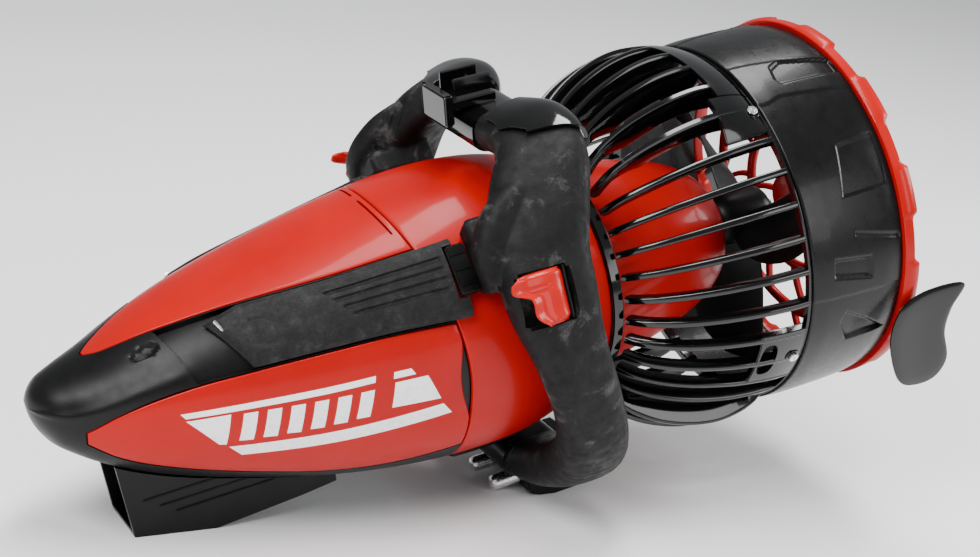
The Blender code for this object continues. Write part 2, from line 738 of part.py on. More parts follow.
def make_rail():
    """The accessory rail on the bridge: a base with two upright blades and a front stop."""
    plate = box_mesh("rail", (-0.017, -0.004, 0.1648), (0.017, 0.034, RAIL_TOP))
    base = add_object("accessory_rail", plate, GLOSS)
    for k, x in enumerate((-0.0125, 0.0095)):
        cut(base, cutter_box(f"rail_blade_{k}", (x, 0.001, 0.170), (x + 0.003, 0.032, 0.187)), join=True)
    cut(base, cutter_box("rail_stop", (-0.019, -0.011, 0.153), (0.019, -0.003, 0.178)), join=True)


def make_weights():
    """Two steel rods held under the handle ring. The holder's sole stands on the floor."""
    low = -0.1555
    rear = 0.092
    front = 0.028
    foot = [(0.054, ground_z(0.054)), (0.036, ground_z(0.036))]
    ring = [(front, low), (rear, low), (rear, foot[0][1])] + foot
    ring.append((front, -0.1735))
    rings = [[Vector((x, y, z)) for y, z in ring] for x in (-0.036, 0.036)]
    holder = add_object("weight_holder", tube_mesh("weight_holder", rings), BLACK)
    for side, sign in SIDES:
        centre = Vector((0.0175 * sign, 0.0, -0.1655))
        start = centre + Vector((0, 0.02, 0))
        end = centre + Vector((0, ROD_END_Y + 0.0005, 0))
        cut(holder, cutter_rod(f"rod_bore_{side}", start, end, ROD_R + 0.0004, 20))
        profile = [(0.0, 0.002), (0.004, 0.0025), (ROD_R, 0.006), (ROD_R, ROD_END_Y), (0.0, ROD_END_Y)]
        rod = turned(f"weight_rod_{side}", profile, STEEL, 20)
        rod.location = centre


# ---------------------------------------------------------------- drive


POD = (
    (0.0860, 0.0862), (0.0830, 0.110), (0.0780, 0.140), (0.0710, 0.170), (0.0600, 0.200), (0.0460, 0.220),
    (0.0300, 0.2315),
)
POD_REAR_Y = 0.235
POD_BORE = 0.013
MOTOR_REAR_Y = 0.185
MOTOR_R = 0.037
SHAFT_R = 0.0042
SHAFT_FRONT_Y = 0.091
PROP_Y = 0.265
HUB_FRONT_Y = 0.2385
HUB_REAR_Y = 0.2885


def make_motor_pod():
    inside = [(r - WALL, y - 0.0015) for r, y in reversed(POD[1:-1])]
    inside.append((POD[0][0] - WALL, POD[0][1]))
    end = [(POD_BORE, POD_REAR_Y), (POD_BORE, POD_REAR_Y - 0.0032), (0.028, 0.2285)]
    turned("motor_pod", list(POD) + end + inside, RED, 28)


def ring_profile(outer, inner, front, rear):
    return [(outer, front), (outer, rear), (inner, rear), (inner, front)]


def make_drive():
    """Motor, shaft, bearings, seal and propeller. The shaft, rotor, nut and propeller turn together."""
    can = [(MOTOR_R, 0.095), (MOTOR_R, MOTOR_REAR_Y), (0.0085, MOTOR_REAR_Y)]
    can += [(0.0085, MOTOR_REAR_Y - WALL), (MOTOR_R - WALL, MOTOR_REAR_Y - WALL), (MOTOR_R - WALL, 0.095)]
    turned("motor_can", can, STEEL, 32)
    turned("motor_end_cap", ring_profile(MOTOR_R, 0.0112, 0.0905, 0.0945), BLACK, 32)
    spin = pivot_at("propeller_pivot", Vector((0, 0, 0)))
    turned("motor_rotor", ring_profile(0.030, SHAFT_R + GAP, 0.102, 0.174), BRASS, 24, pivot=spin)
    end = HUB_REAR_Y + 0.0095
    shaft = [(0.0, SHAFT_FRONT_Y), (SHAFT_R, SHAFT_FRONT_Y), (SHAFT_R, end), (0.0, end)]
    turned("drive_shaft", shaft, STEEL, 16, pivot=spin)
    for name, y in (("bearing_front", 0.0905), ("bearing_rear", MOTOR_REAR_Y + 0.0008)):
        turned(name, ring_profile(0.0108, SHAFT_R + 0.0005, y, y + 0.006), STEEL, 16)
    seal = ring_profile(POD_BORE - 0.0005, SHAFT_R + 0.0005, POD_REAR_Y - 0.012, POD_REAR_Y - 0.001)
    turned("shaft_seal", seal, RUBBER, 16)
    profile = [(0.0150, HUB_FRONT_Y), (0.0215, 0.243), (0.0225, 0.256), (0.0210, 0.281), (0.0170, HUB_REAR_Y)]
    profile += [(SHAFT_R + GAP, HUB_REAR_Y), (SHAFT_R + GAP, HUB_FRONT_Y)]
    hub = turned("propeller", profile, BLACK, 24, pivot=spin)
    for k in range(3):
        cut(hub, add_object(f"blade_{k}", blade_mesh(k * 120.0), cutter=True), join=True)
    front = HUB_REAR_Y + 0.0005
    nut = [(0.010, front), (0.010, front + 0.005), (0.006, front + 0.0085)]
    nut += [(SHAFT_R + GAP, front + 0.0085), (SHAFT_R + GAP, front)]
    turned("propeller_nut", nut, STEEL, 12, pivot=spin)


def blade_mesh(degrees):
    """One blade: broad, twisted and swept back."""
    outer = []
    inner = []
    for radius, chord, pitch, sweep, thick in (
        (0.0175, 0.036, 58.0, 0.0, 0.0050),
        (0.045, 0.060, 44.0, 6.0, 0.0042),
        (0.080, 0.072, 33.0, 14.0, 0.0034),
        (0.118, 0.066, 26.0, 22.0, 0.0028),
        (0.137, 0.042, 23.0, 28.0, 0.0024),
    ):
        out_row = []
        in_row = []
        for k in range(7):
            share = k / 6 - 0.5
            lean = math.radians(pitch)
            across = share * chord * math.cos(lean)
            y = PROP_Y + share * chord * math.sin(lean)
            half = thick * (0.15 + 0.85 * math.sqrt(max(0.0, 1 - (2 * share) ** 2))) / 2
            turn = math.radians(degrees + sweep) + across / radius
            for row, offset in ((out_row, half), (in_row, -half)):
                row.append(Vector((radius * math.cos(turn), y + offset * 1.2, radius * math.sin(turn))))
        outer.append(out_row)
        inner.append(in_row)
    return grid_mesh("blade", outer, inner)


# ---------------------------------------------------------------- cage and shroud


# The cage's outside over the top and under the belly, where it swells most: y, radius
SWELL = (
    (0.088, 0.090), (0.100, 0.118), (0.120, 0.138), (0.150, 0.153), (0.180, 0.1600), (0.205, 0.1590),
    (0.222, 0.1545), (0.2300, 0.1500), (0.2375, 0.1500),
)
# How much deeper the ribs are at the top and bottom, and where along them
RIB_EXTRA = 0.012
RIB_DEEP = ((0.080, 0.0), (0.100, 0.0), (0.118, 1.0), (0.208, 1.0), (0.225, 0.0), (0.240, 0.0))
RIB_ROWS = (RIB_START_Y + 0.0035, 0.100, 0.118, 0.148, 0.180, 0.208, 0.2290, 0.2345)


def rib_radius(y, degrees):
    """The cage's outside: it swells from the collar, more at top and bottom, and meets the shroud level."""
    t = (SHROUD_FRONT_Y - y) / (SHROUD_FRONT_Y - RIB_START_Y)
    t = min(max(t, 0.0), 1.0)
    plain = COLLAR_R + 0.001 + (0.150 - COLLAR_R - 0.001) * (1 - t**1.7) ** (1 / 1.7)
    return plain + (smooth_through(SWELL, y, 1) - plain) * swell_share(degrees)


def swell_share(degrees):
    """0 at the sides of the cage and 1 at its top and bottom."""
    away = abs((degrees + 90.0) % 180.0 - 90.0)
    share = min(max((away - 44.0) / 16.0, 0.0), 1.0)
    return share * share * (3 - 2 * share)


def polar(radius, y, degrees):
    turn = math.radians(degrees)
    return Vector((radius * math.cos(turn), y, radius * math.sin(turn)))


def rib_mesh(degrees):
    rings = []
    half = side_step(degrees, RIB_WIDTH / 2)
    for y in RIB_ROWS:
        top = polar(rib_radius(y, degrees), y, degrees)
        depth = RIB_DEPTH + RIB_EXTRA * swell_share(degrees) * linear(RIB_DEEP, y)
        foot = polar(rib_radius(y, degrees) - depth, y, degrees)
        rings.append([top - half, top + half, foot + half * 0.6, foot - half * 0.6])
    return tube_mesh("rib", rings)


def side_step(degrees, amount):
    turn = math.radians(degrees)
    return Vector((-math.sin(turn), 0, math.cos(turn))) * amount


def cage_plate(name, low, high, ys, thick=0.006):
    angles = spaced(low, high, max(3, round(abs(high - low) / 9) + 1))
    outer = [[polar(rib_radius(y, a), y, a) for a in angles] for y in ys]
    inner = [[polar(rib_radius(y, a) - thick, y, a) for a in angles] for y in ys]
    return add_object(name, grid_mesh(name, outer, inner), cutter=True)


# Angles from +X towards +Z: open fans of ribs, and the solid corners between them
CORNERS = ((50.0, 64.0), (116.0, 130.0), (-36.0, -14.0), (194.0, 216.0))


def make_cage():
    ring = [(COLLAR_R + 0.003, COLLAR_FRONT_Y), (COLLAR_R + 0.004, 0.0935)]
    ring += [(0.0865, 0.0935), (0.0865, COLLAR_FRONT_Y)]
    cage = turned("cage", ring, GLOSS, 48)
    hoop = [(0.1505, 0.2285), (0.1505, 0.2375), (0.1435, 0.2375), (0.1435, 0.2285)]
    pieces = [turned("hoop", hoop, None, 48, cutter=True)]
    for k in range(RIB_COUNT):
        degrees = 360.0 * (k + 0.5) / RIB_COUNT
        pieces.append(add_object(f"rib_{k}", rib_mesh(degrees), cutter=True))
    for k, (low, high) in enumerate(CORNERS):
        pieces.append(cage_plate(f"corner_{k}", low, high, (0.190, 0.205, 0.232)))
    pieces.append(cage_plate("cowl", 64.0, 116.0, (0.200, 0.215, 0.232), 0.004))
    cut(cage, *pieces, join=True)


def make_shroud():
    profile = [(0.1535, 0.2310), (SHROUD_R + 0.001, 0.250)]
    profile += [(SHROUD_R + 0.001, 0.300), (0.1525, SHROUD_REAR_Y)]
    profile += [(0.1480, SHROUD_REAR_Y), (0.1480, 0.2380), (0.1508, 0.2378), (0.1508, 0.2310)]
    turned("shroud", profile, BLACK, 48)


# The grille's openings: inner radius, outer radius, how many
GRILLE_BANDS = ((0.0225, 0.0595, 6), (0.0665, 0.1035, 12), (0.1105, 0.1460, 12))
SPOKE_HALF = 0.0022
SWIRL_DEG = 10.0


def make_rear_guard():
    """The red rear ring, toothed outside, with a grille of three rings and twelve spokes."""
    outline = [polar(0.1530, 0.0, 360.0 * k / 48) for k in range(48)]
    openings = []
    for low, high, count in GRILLE_BANDS:
        for k in range(count):
            start = 360.0 * k / count
            half_low = math.degrees(SPOKE_HALF / low)
            half_high = math.degrees(SPOKE_HALF / high)
            arc_low = spaced(start + half_low, start + 360.0 / count - half_low, 4)
            arc_high = spaced(start + half_high, start + 360.0 / count - half_high, 4)
            inner = [polar(low, 0, a) for a in arc_low]
            openings.append(inner + [polar(high, 0, a + SWIRL_DEG) for a in reversed(arc_high)])
    grille = flat_piece("rear_guard", [outline] + openings, 0.006, 0.3235, RED)
    front = SHROUD_REAR_Y + GAP
    band = [(0.1555, front), (0.1570, 0.327), (0.1555, GUARD_REAR_Y), (0.1490, GUARD_REAR_Y), (0.1470, front)]
    cut(grille, turned("guard_band", band, None, 48, cutter=True), join=True)
    nub = [(0.0, 0.3140), (0.0230, 0.3160), (0.0235, 0.3240), (0.0, 0.3280)]
    cut(grille, turned("guard_hub", nub, None, 24, cutter=True), join=True)


def flat_piece(name, outlines, thick, y, look):
    """A flat plate square to the shaft, with holes where outlines lie inside the first one."""
    curve = bpy.data.curves.new(name, "CURVE")
    curve.dimensions = "2D"
    curve.fill_mode = "BOTH"
    curve.extrude = thick / 2
    for outline in outlines:
        spline = curve.splines.new("POLY")
        spline.points.add(len(outline) - 1)
        for point, place in zip(spline.points, outline):
            point.co = (place.x, place.z, 0.0, 1.0)
        spline.use_cyclic_u = True
    guide = bpy.data.objects.new(name + "_outline", curve)
    CUTTERS.objects.link(guide)
    depsgraph = bpy.context.evaluated_depsgraph_get()
    mesh = bpy.data.meshes.new_from_object(guide.evaluated_get(depsgraph))
    bpy.data.objects.remove(guide)
    bm = bmesh.new()
    bm.from_mesh(mesh)
    for v in bm.verts:
        v.co = Vector((v.co.x, y - v.co.z, v.co.y))
    return add_object(name, finish_mesh(name, bm, 1e-5), look)


# A winglet's outline as (y, z), and its bow as (y, x)
WINGLET = (
    (0.3030, -0.076), (0.3050, -0.054), (0.317, -0.036), (0.340, -0.028), (0.372, -0.029), (0.360, -0.050),
    (0.3545, -0.070), (0.358, -0.095), (0.346, -0.112), (0.327, -0.1145), (0.311, -0.106),
)
WINGLET_BOW = ((0.303, 0.1580), (0.335, 0.1595), (0.372, 0.1665))


def make_winglet(side, sign):
    """A small curved fin on an arm at each lower corner of the shroud."""
    near = []
    far = []
    for y, z in WINGLET:
        x = linear(WINGLET_BOW, y)
        near.append(Vector((x - 0.002, y, z)))
        far.append(Vector((x + 0.002, y, z)))
    bm = bmesh.new()
    rings = [[bm.verts.new(p) for p in ring] for ring in (near, far)]
    for ring in rings:
        bm.faces.new(ring)
    for k in range(len(near)):
        j = (k + 1) % len(near)
        bm.faces.new((rings[0][k], rings[0][j], rings[1][j], rings[1][k]))
    bmesh.ops.triangulate(bm, faces=bm.faces)
    name = f"winglet_{side}"
    fin = add_object(name, sided(finish_mesh(name, bm), sign), GLOSS)
    base = [(0.137, 0.262, -0.072), (0.137, 0.308, -0.072), (0.147, 0.308, -0.048), (0.147, 0.262, -0.048)]
    tip = [(0.158, 0.312, -0.078), (0.160, 0.336, -0.078), (0.160, 0.336, -0.056), (0.158, 0.312, -0.056)]
    form = sided(tube_mesh("arm", [[Vector(p) for p in ring] for ring in (base, tip)]), sign)
    arm = add_object(f"arm_form_{side}", form, cutter=True)
    sleeve = [(0.1553, 0.2), (0.1553, 0.36), (0.05, 0.36), (0.05, 0.2)]
    clear = turned(f"shroud_space_{side}", sleeve, None, 48, cutter=True)
    cut(fin, arm, join=True)
    cut(fin, clear)


def sided(mesh, sign):
    """A mesh made for the left, or its mirror image for the right."""
    if sign < 0:
        mesh.transform(Matrix.Scale(-1, 4, Vector((1, 0, 0))))
        mesh.flip_normals()
    return mesh


def make_screws():
    """Screws that close the corners of the cage onto the shroud."""
    for k, (low, high) in enumerate(CORNERS):
        middle = (low + high) / 2
        y = 0.222
        start = polar(rib_radius(y, middle) + 0.0012, y, middle)
        end = polar(rib_radius(y, middle) + 0.0033, y, middle)
        add_object(f"corner_screw_{k + 1}", rod_mesh("screw", start, end, 0.004, 10), STEEL)


def make_all():
    make_nose_frame()
    make_nose_skins()
    make_keel_skid()
    make_main_hull()
    make_inside()
    make_belly()
    for side, sign in SIDES:
        make_latch(side, sign)
        make_latch_catch(side, sign)
        make_grip(side, sign)
        make_trigger(side, sign)
        make_shoulder_cover(side, sign)
        make_winglet(side, sign)
    bridge("top_bridge", GLOSS, (0.029, 0.148), 0.0335, 0.026, 0.0165)
    bridge("lower_bridge", BLACK, (0.035, -0.1395), 0.0355, 0.028, 0.0155)
    make_rail()
    make_weights()
    make_motor_pod()
    make_drive()
    make_cage()
    make_shroud()
    make_rear_guard()
    make_screws()


make_all()
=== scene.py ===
import math

import bmesh
import bpy
from mathutils import Matrix, Vector


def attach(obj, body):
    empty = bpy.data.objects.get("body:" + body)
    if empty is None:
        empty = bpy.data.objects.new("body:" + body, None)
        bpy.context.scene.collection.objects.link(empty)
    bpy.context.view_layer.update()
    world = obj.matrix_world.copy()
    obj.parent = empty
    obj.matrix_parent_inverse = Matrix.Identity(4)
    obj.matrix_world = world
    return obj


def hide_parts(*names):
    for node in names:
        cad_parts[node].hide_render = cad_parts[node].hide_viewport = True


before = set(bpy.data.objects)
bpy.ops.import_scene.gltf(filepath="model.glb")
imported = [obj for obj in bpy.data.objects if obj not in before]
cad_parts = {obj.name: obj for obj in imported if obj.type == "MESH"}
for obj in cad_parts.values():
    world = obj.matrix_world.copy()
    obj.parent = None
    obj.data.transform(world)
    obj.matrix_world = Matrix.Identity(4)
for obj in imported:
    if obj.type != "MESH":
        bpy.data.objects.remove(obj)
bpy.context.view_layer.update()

# The shaft frame: the propeller turns about its Y axis, the nose points to -Y, the diver's left is +X
TILT = math.atan(0.235)
BASE = Vector((0.0, -0.00963, 0.16739))
ROOT = Matrix.Translation(BASE) @ Matrix.Rotation(TILT, 4, "X")
SIDES = ("left", "right")

NOSE_Y = -0.356
HULL_END_Y = 0.084
WALL = 0.003
SKIN = 0.0022
GAP = 0.0003
COLLAR_R = 0.089
GROUND_SLOPE = -0.235
GROUND_Z = -0.1085
GROUND_Y = -0.27
SHROUD_R = 0.154
SHROUD_FRONT_Y = 0.231
SHROUD_REAR_Y = 0.319
GUARD_REAR_Y = 0.334


# ---------------------------------------------------------------- camera, floor and light

# The camera's place and its three directions, in the shaft frame
CAMERA_PLACE = Vector((1.3021, -0.6278, 0.7114))
CAMERA_RIGHT = Vector((0.4766, 0.8765, -0.0683))
CAMERA_UP = Vector((-0.3530, 0.2619, 0.8982))
CAMERA_BACK = Vector((0.8051, -0.4040, 0.4342))
CAMERA_LENS_MM = 74.29


def make_camera():
    data = bpy.data.cameras.new("camera")
    data.lens = CAMERA_LENS_MM
    data.sensor_width = 36.0
    camera = bpy.data.objects.new("camera", data)
    bpy.context.scene.collection.objects.link(camera)
    columns = (CAMERA_RIGHT, CAMERA_UP, CAMERA_BACK, CAMERA_PLACE)
    rows = [[c[i] for c in columns] for i in range(3)]
    camera.matrix_world = ROOT @ Matrix(rows + [[0, 0, 0, 1]])
    bpy.context.scene.camera = camera


def area_light(name, place, target, size, power, size_y=None):
    data = bpy.data.lights.new(name, "AREA")
    data.energy = power
    data.size = size
    if size_y:
        data.shape = "RECTANGLE"
        data.size_y = size_y
    light = bpy.data.objects.new(name, data)
    bpy.context.scene.collection.objects.link(light)
    light.location = place
    light.rotation_euler = (Vector(place) - Vector(target)).to_track_quat("Z", "Y").to_euler()


def make_studio():
    world = bpy.data.worlds.new("studio")
    bpy.context.scene.world = world
    world.use_nodes = True
    background = world.node_tree.nodes["Background"]
    background.inputs["Color"].default_value = (0.95, 0.97, 1.0, 1.0)
    background.inputs["Strength"].default_value = 0.38
    area_light("key", (0.9, -1.6, 1.9), (0, 0, 0.15), 1.1, 62)
    area_light("top", (-0.1, 0.1, 2.0), (0, 0, 0.1), 0.5, 62, 2.2)
    area_light("rear", (0.5, 1.9, 1.0), (0, 0.1, 0.2), 0.8, 24)
    area_light("side", (2.0, 0.9, 1.0), (0, 0.1, 0.2), 0.7, 14, 1.2)
    bpy.ops.mesh.primitive_plane_add(size=14)
    floor = bpy.context.object
    floor.name = "floor"
    floor.location.z = -0.0003
    pale = bpy.data.materials.new("pale_floor")
    pale.use_nodes = True
    shader = pale.node_tree.nodes["Principled BSDF"]
    shader.inputs["Base Color"].default_value = (0.93, 0.93, 0.93, 1)
    shader.inputs["Roughness"].default_value = 0.75
    floor.data.materials.append(pale)


# ---------------------------------------------------------------- materials


class Nodes:
    """A material's node tree, with its Principled shader and object coordinates."""

    def __init__(self, name):
        self.material = bpy.data.materials.new(name)
        self.material.use_nodes = True
        self.tree = self.material.node_tree
        self.shader = self.tree.nodes["Principled BSDF"]
        self.place = self.tree.nodes.new("ShaderNodeTexCoord").outputs["Object"]

    def link(self, source, target):
        self.tree.links.new(source, target)

    def feed(self, name, value):
        self.link(value, self.shader.inputs[name])

    def noise(self, scale, detail=4.0, roughness=0.55, distortion=0.0):
        node = self.tree.nodes.new("ShaderNodeTexNoise")
        node.inputs["Scale"].default_value = scale
        node.inputs["Detail"].default_value = detail
        node.inputs["Roughness"].default_value = roughness
        node.inputs["Distortion"].default_value = distortion
        self.link(self.place, node.inputs["Vector"])
        return node.outputs["Fac"]

    def stretched_noise(self, scale, stretch, detail=3.0):
        """Noise drawn out along an axis, for brushed metal and flow lines."""
        mapping = self.tree.nodes.new("ShaderNodeMapping")
        mapping.inputs["Scale"].default_value = stretch
        self.link(self.place, mapping.inputs["Vector"])
        node = self.tree.nodes.new("ShaderNodeTexNoise")
        node.inputs["Scale"].default_value = scale
        node.inputs["Detail"].default_value = detail
        self.link(mapping.outputs["Vector"], node.inputs["Vector"])
        return node.outputs["Fac"]

    def cells(self, scale):
        node = self.tree.nodes.new("ShaderNodeTexVoronoi")
        node.inputs["Scale"].default_value = scale
        self.link(self.place, node.inputs["Vector"])
        return node.outputs["Distance"]

    def ramp(self, value, stops):
        """Colours or greys along a value; stops are (position, colour or grey)."""
        node = self.tree.nodes.new("ShaderNodeValToRGB")
        while len(node.color_ramp.elements) < len(stops):
            node.color_ramp.elements.new(0.5)
        for element, (position, colour) in zip(node.color_ramp.elements, stops):
            element.position = position
            colour = colour if isinstance(colour, tuple) else (colour, colour, colour)
            element.color = (*colour, 1.0)
        self.link(value, node.inputs["Fac"])
        return node.outputs["Color"]

    def spread(self, value, low, high):
        node = self.tree.nodes.new("ShaderNodeMapRange")
        node.inputs["From Min"].default_value = 0.25
        node.inputs["From Max"].default_value = 0.75
        node.inputs["To Min"].default_value = low
        node.inputs["To Max"].default_value = high
        self.link(value, node.inputs["Value"])
        return node.outputs["Result"]

    def mix(self, share, first, second, kind="MIX"):
        node = self.tree.nodes.new("ShaderNodeMix")
        node.data_type = "RGBA"
        node.blend_type = kind
        node.inputs["Factor"].default_value = share
        self.link(first, node.inputs["A"])
        self.link(second, node.inputs["B"])
        return node.outputs["Result"]

    def bump(self, value, strength, distance, under=None):
        node = self.tree.nodes.new("ShaderNodeBump")
        node.inputs["Strength"].default_value = strength
        node.inputs["Distance"].default_value = distance
        self.link(value, node.inputs["Height"])
        if under:
            self.link(under, node.inputs["Normal"])
        return node.outputs["Normal"]

    def set(self, **values):
        for name, value in values.items():
            self.shader.inputs[name.replace("_", " ")].default_value = value


def red_plastic(name, deep, bright, coat):
    """Glossy moulded red with a faint orange peel and slow colour drift."""
    n = Nodes(name)
    drift = n.ramp(n.noise(9.0, 3.0), [(0.3, deep), (0.7, bright)])
    n.feed("Base Color", drift)
    n.feed("Roughness", n.spread(n.noise(60.0, 5.0), 0.30, 0.42))
    n.set(Specular_IOR_Level=0.12, Coat_Weight=coat, Coat_Roughness=0.09)
    fine = n.bump(n.noise(520.0, 2.0), 0.10, 0.0002)
    n.feed("Normal", n.bump(n.noise(34.0, 2.0), 0.05, 0.002, fine))
    return n.material


def black_plastic(name, dark, light, rough, grain, coat=0.0, shine=0.5):
    """Moulded black plastic: fine spark-eroded grain and uneven gloss."""
    n = Nodes(name)
    stops = [(0.3, (dark, dark, dark * 1.05)), (0.75, (light, light, light * 1.03))]
    tone = n.ramp(n.noise(26.0, 6.0), stops)
    n.feed("Base Color", tone)
    n.feed("Roughness", n.spread(n.noise(110.0, 6.0), rough[0], rough[1]))
    n.set(Specular_IOR_Level=shine, Coat_Weight=coat, Coat_Roughness=0.05)
    n.feed("Normal", n.bump(n.cells(1500.0), grain, 0.0002))
    return n.material


def mottled(name, dark, mid, pale, scale, grain=0.5):
    """Rubbery black with cloudy grey scuffs and a leathery grain."""
    n = Nodes(name)
    clouds = n.noise(scale, 12.0, 0.72, 0.4)
    tone = n.ramp(clouds, [(0.38, dark), (0.55, mid), (0.74, pale)])
    worn = n.ramp(n.noise(scale * 5, 10.0, 0.7), [(0.35, 0.35), (0.7, 1.0)])
    n.feed("Base Color", n.mix(0.8, tone, worn, "MULTIPLY"))
    n.feed("Roughness", n.spread(n.noise(scale * 3, 8.0), 0.75, 0.45))
    n.set(Specular_IOR_Level=0.20)
    coarse = n.bump(n.noise(scale * 4, 8.0, 0.6), 0.25, 0.0008)
    n.feed("Normal", n.bump(n.cells(900.0), grain, 0.00025, coarse))
    return n.material


def steel(name, colour, rough):
    """Metal with fine brushed lines."""
    n = Nodes(name)
    lines = n.stretched_noise(18.0, (1, 40, 40))
    tone = n.ramp(lines, [(0.3, tuple(c * 0.82 for c in colour)), (0.7, colour)])
    n.feed("Base Color", tone)
    n.feed("Roughness", n.spread(lines, rough * 0.7, rough * 1.4))
    n.set(Metallic=1.0)
    n.feed("Normal", n.bump(lines, 0.05, 0.0002))
    return n.material


def white_print():
    n = Nodes("white_print")
    tone = n.ramp(n.noise(150.0, 6.0), [(0.25, (0.80, 0.80, 0.79)), (0.5, (0.93, 0.93, 0.93))])
    n.feed("Base Color", tone)
    n.feed("Roughness", n.spread(n.noise(240.0), 0.22, 0.36))
    n.feed("Normal", n.bump(n.noise(700.0), 0.05, 0.0001))
    return n.material


def circuit_board():
    n = Nodes("board_look")
    tracks = n.tree.nodes.new("ShaderNodeTexBrick")
    tracks.inputs["Scale"].default_value = 90.0
    tracks.inputs["Color1"].default_value = (0.01, 0.10, 0.04, 1)
    tracks.inputs["Color2"].default_value = (0.02, 0.17, 0.07, 1)
    tracks.inputs["Mortar"].default_value = (0.25, 0.42, 0.15, 1)
    n.link(n.place, tracks.inputs["Vector"])
    n.feed("Base Color", tracks.outputs["Color"])
    n.feed("Roughness", n.spread(n.noise(90.0), 0.3, 0.5))
    return n.material


RED = red_plastic("red_gloss_look", (0.34, 0.0004, 0.0002), (0.42, 0.0008, 0.0003), 0.16)
TRIGGER_RED = red_plastic("red_trigger_look", (0.40, 0.002, 0.001), (0.48, 0.004, 0.002), 0.20)
SATIN = black_plastic("black_satin_look", 0.002, 0.005, (0.30, 0.42), 0.20, 0.0, 0.20)
GLOSS = black_plastic("black_gloss_look", 0.0015, 0.003, (0.07, 0.15), 0.03, 0.5, 0.25)
SHROUD_BLACK = black_plastic("black_shroud_look", 0.002, 0.005, (0.24, 0.34), 0.10, 0.06, 0.22)
CASE = black_plastic("battery_case_look", 0.03, 0.05, (0.4, 0.6), 0.3)
DEEP = black_plastic("black_matt_look", 0.002, 0.005, (0.5, 0.7), 0.3, 0.0, 0.2)
GRIP = mottled("grip_look", (0.0015, 0.0015, 0.002), (0.006, 0.006, 0.0065), (0.11, 0.108, 0.105), 40.0)
LATCH = mottled("latch_look", (0.006, 0.006, 0.006), (0.014, 0.014, 0.014), (0.045, 0.045, 0.043), 85.0, 0.7)
BLACKENED = steel("blackened_steel_look", (0.03, 0.03, 0.03), 0.40)
STEEL = steel("steel_look", (0.90, 0.90, 0.89), 0.22)
BRASS = steel("brass_look", (0.78, 0.56, 0.25), 0.25)
WHITE = white_print()
BOARD = circuit_board()


# ---------------------------------------------------------------- making pieces


def put(name, mesh, look, body, replaces=(), smooth=35):
    """Moves a mesh from the shaft frame into the world, and gives it its look, body and CAD nodes."""
    mesh.transform(ROOT)
    made = bpy.data.objects.new(name, mesh)
    bpy.context.scene.collection.objects.link(made)
    mesh.materials.clear()
    mesh.materials.append(look)
    for face in mesh.polygons:
        face.use_smooth = True
        face.material_index = 0
    if smooth:
        mesh.set_sharp_from_angle(angle=math.radians(smooth))
    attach(made, body)
    if replaces:
        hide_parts(*([replaces] if isinstance(replaces, str) else replaces))
    return made


def opened(mesh):
    bm = bmesh.new()
    bm.from_mesh(mesh)
    return bm


def closed(bm, mesh):
    bm.to_mesh(mesh)
    bm.free()
    return mesh


def new_mesh(name, points, faces, merge=2e-6):
    mesh = bpy.data.meshes.new(name)
    mesh.from_pydata([tuple(p) for p in points], [], faces)
    bm = opened(mesh)
    bmesh.ops.remove_doubles(bm, verts=bm.verts, dist=merge)
    bmesh.ops.recalc_face_normals(bm, faces=bm.faces)
    return closed(bm, mesh)


def shell(name, outer, inner, wrap=False, cap_start=False):
    """A closed body between two grids of points. wrap joins the last column to the first."""
    rows = len(outer)
    cols = len(outer[0])
    points = [p for row in outer for p in row] + [p for row in inner for p in row]
    start = rows * cols
    faces = []
    last = cols if wrap else cols - 1
    for i in range(rows - 1):
        for j in range(last):
            k = (j + 1) % cols
            a, b, c, d = i * cols + j, i * cols + k, (i + 1) * cols + k, (i + 1) * cols + j
            faces.append((a, b, c, d))
            faces.append((start + a, start + d, start + c, start + b))
    for i in [rows - 1] if cap_start else [0, rows - 1]:
        for j in range(last):
            k = (j + 1) % cols
            a, b = i * cols + j, i * cols + k
            faces.append((a, start + a, start + b, b))
    if cap_start:
        faces.append(tuple(range(cols)))
        faces.append(tuple(start + j for j in range(cols)))
    if not wrap:
        for j in (0, cols - 1):
            for i in range(rows - 1):
                a, b = i * cols + j, (i + 1) * cols + j
                faces.append((a, b, start + b, start + a))
    return new_mesh(name, points, faces)


def between(name, rows, columns, points, wrap=False):
    """A closed body between two grids. points(row, column) gives an outer and an inner point."""
    outer = []
    inner = []
    for row in rows:
        places = columns(row) if callable(columns) else columns
        pairs = [points(row, column) for column in places]
        outer.append([pair[0] for pair in pairs])
        inner.append([pair[1] for pair in pairs])
    return shell(name, outer, inner, wrap)


def loft(name, rings):
    """A solid skinned over rings of points, with flat ends."""
    count = len(rings[0])
    points = [p for ring in rings for p in ring]
    faces = []
    for i in range(len(rings) - 1):
        for j in range(count):
            k = (j + 1) % count
            faces.append((i * count + j, i * count + k, (i + 1) * count + k, (i + 1) * count + j))
    faces.append(tuple(range(count)))
    faces.append(tuple((len(rings) - 1) * count + j for j in range(count)))
    return new_mesh(name, points, faces)


def turned(name, profile, steps=128, shape=None):
    """A closed profile of (radius, y) points turned about the shaft. shape may move a point."""
    rings = []
    for k in range(steps):
        turn = 2 * math.pi * k / steps
        ring = []
        for r, y in profile:
            r, y = shape(r, y, math.degrees(turn)) if shape else (r, y)
            ring.append(Vector((r * math.cos(turn), y, r * math.sin(turn))))
        rings.append(ring)
    count = len(profile)
    points = [p for ring in rings for p in ring]
    faces = []
    for i in range(steps):
        i2 = (i + 1) % steps
        for j in range(count):
            k = (j + 1) % count
            if max(profile[j][0], profile[k][0]) > 1e-6:
                faces.append((i * count + j, i * count + k, i2 * count + k, i2 * count + j))
    return new_mesh(name, points, faces, 1e-5)


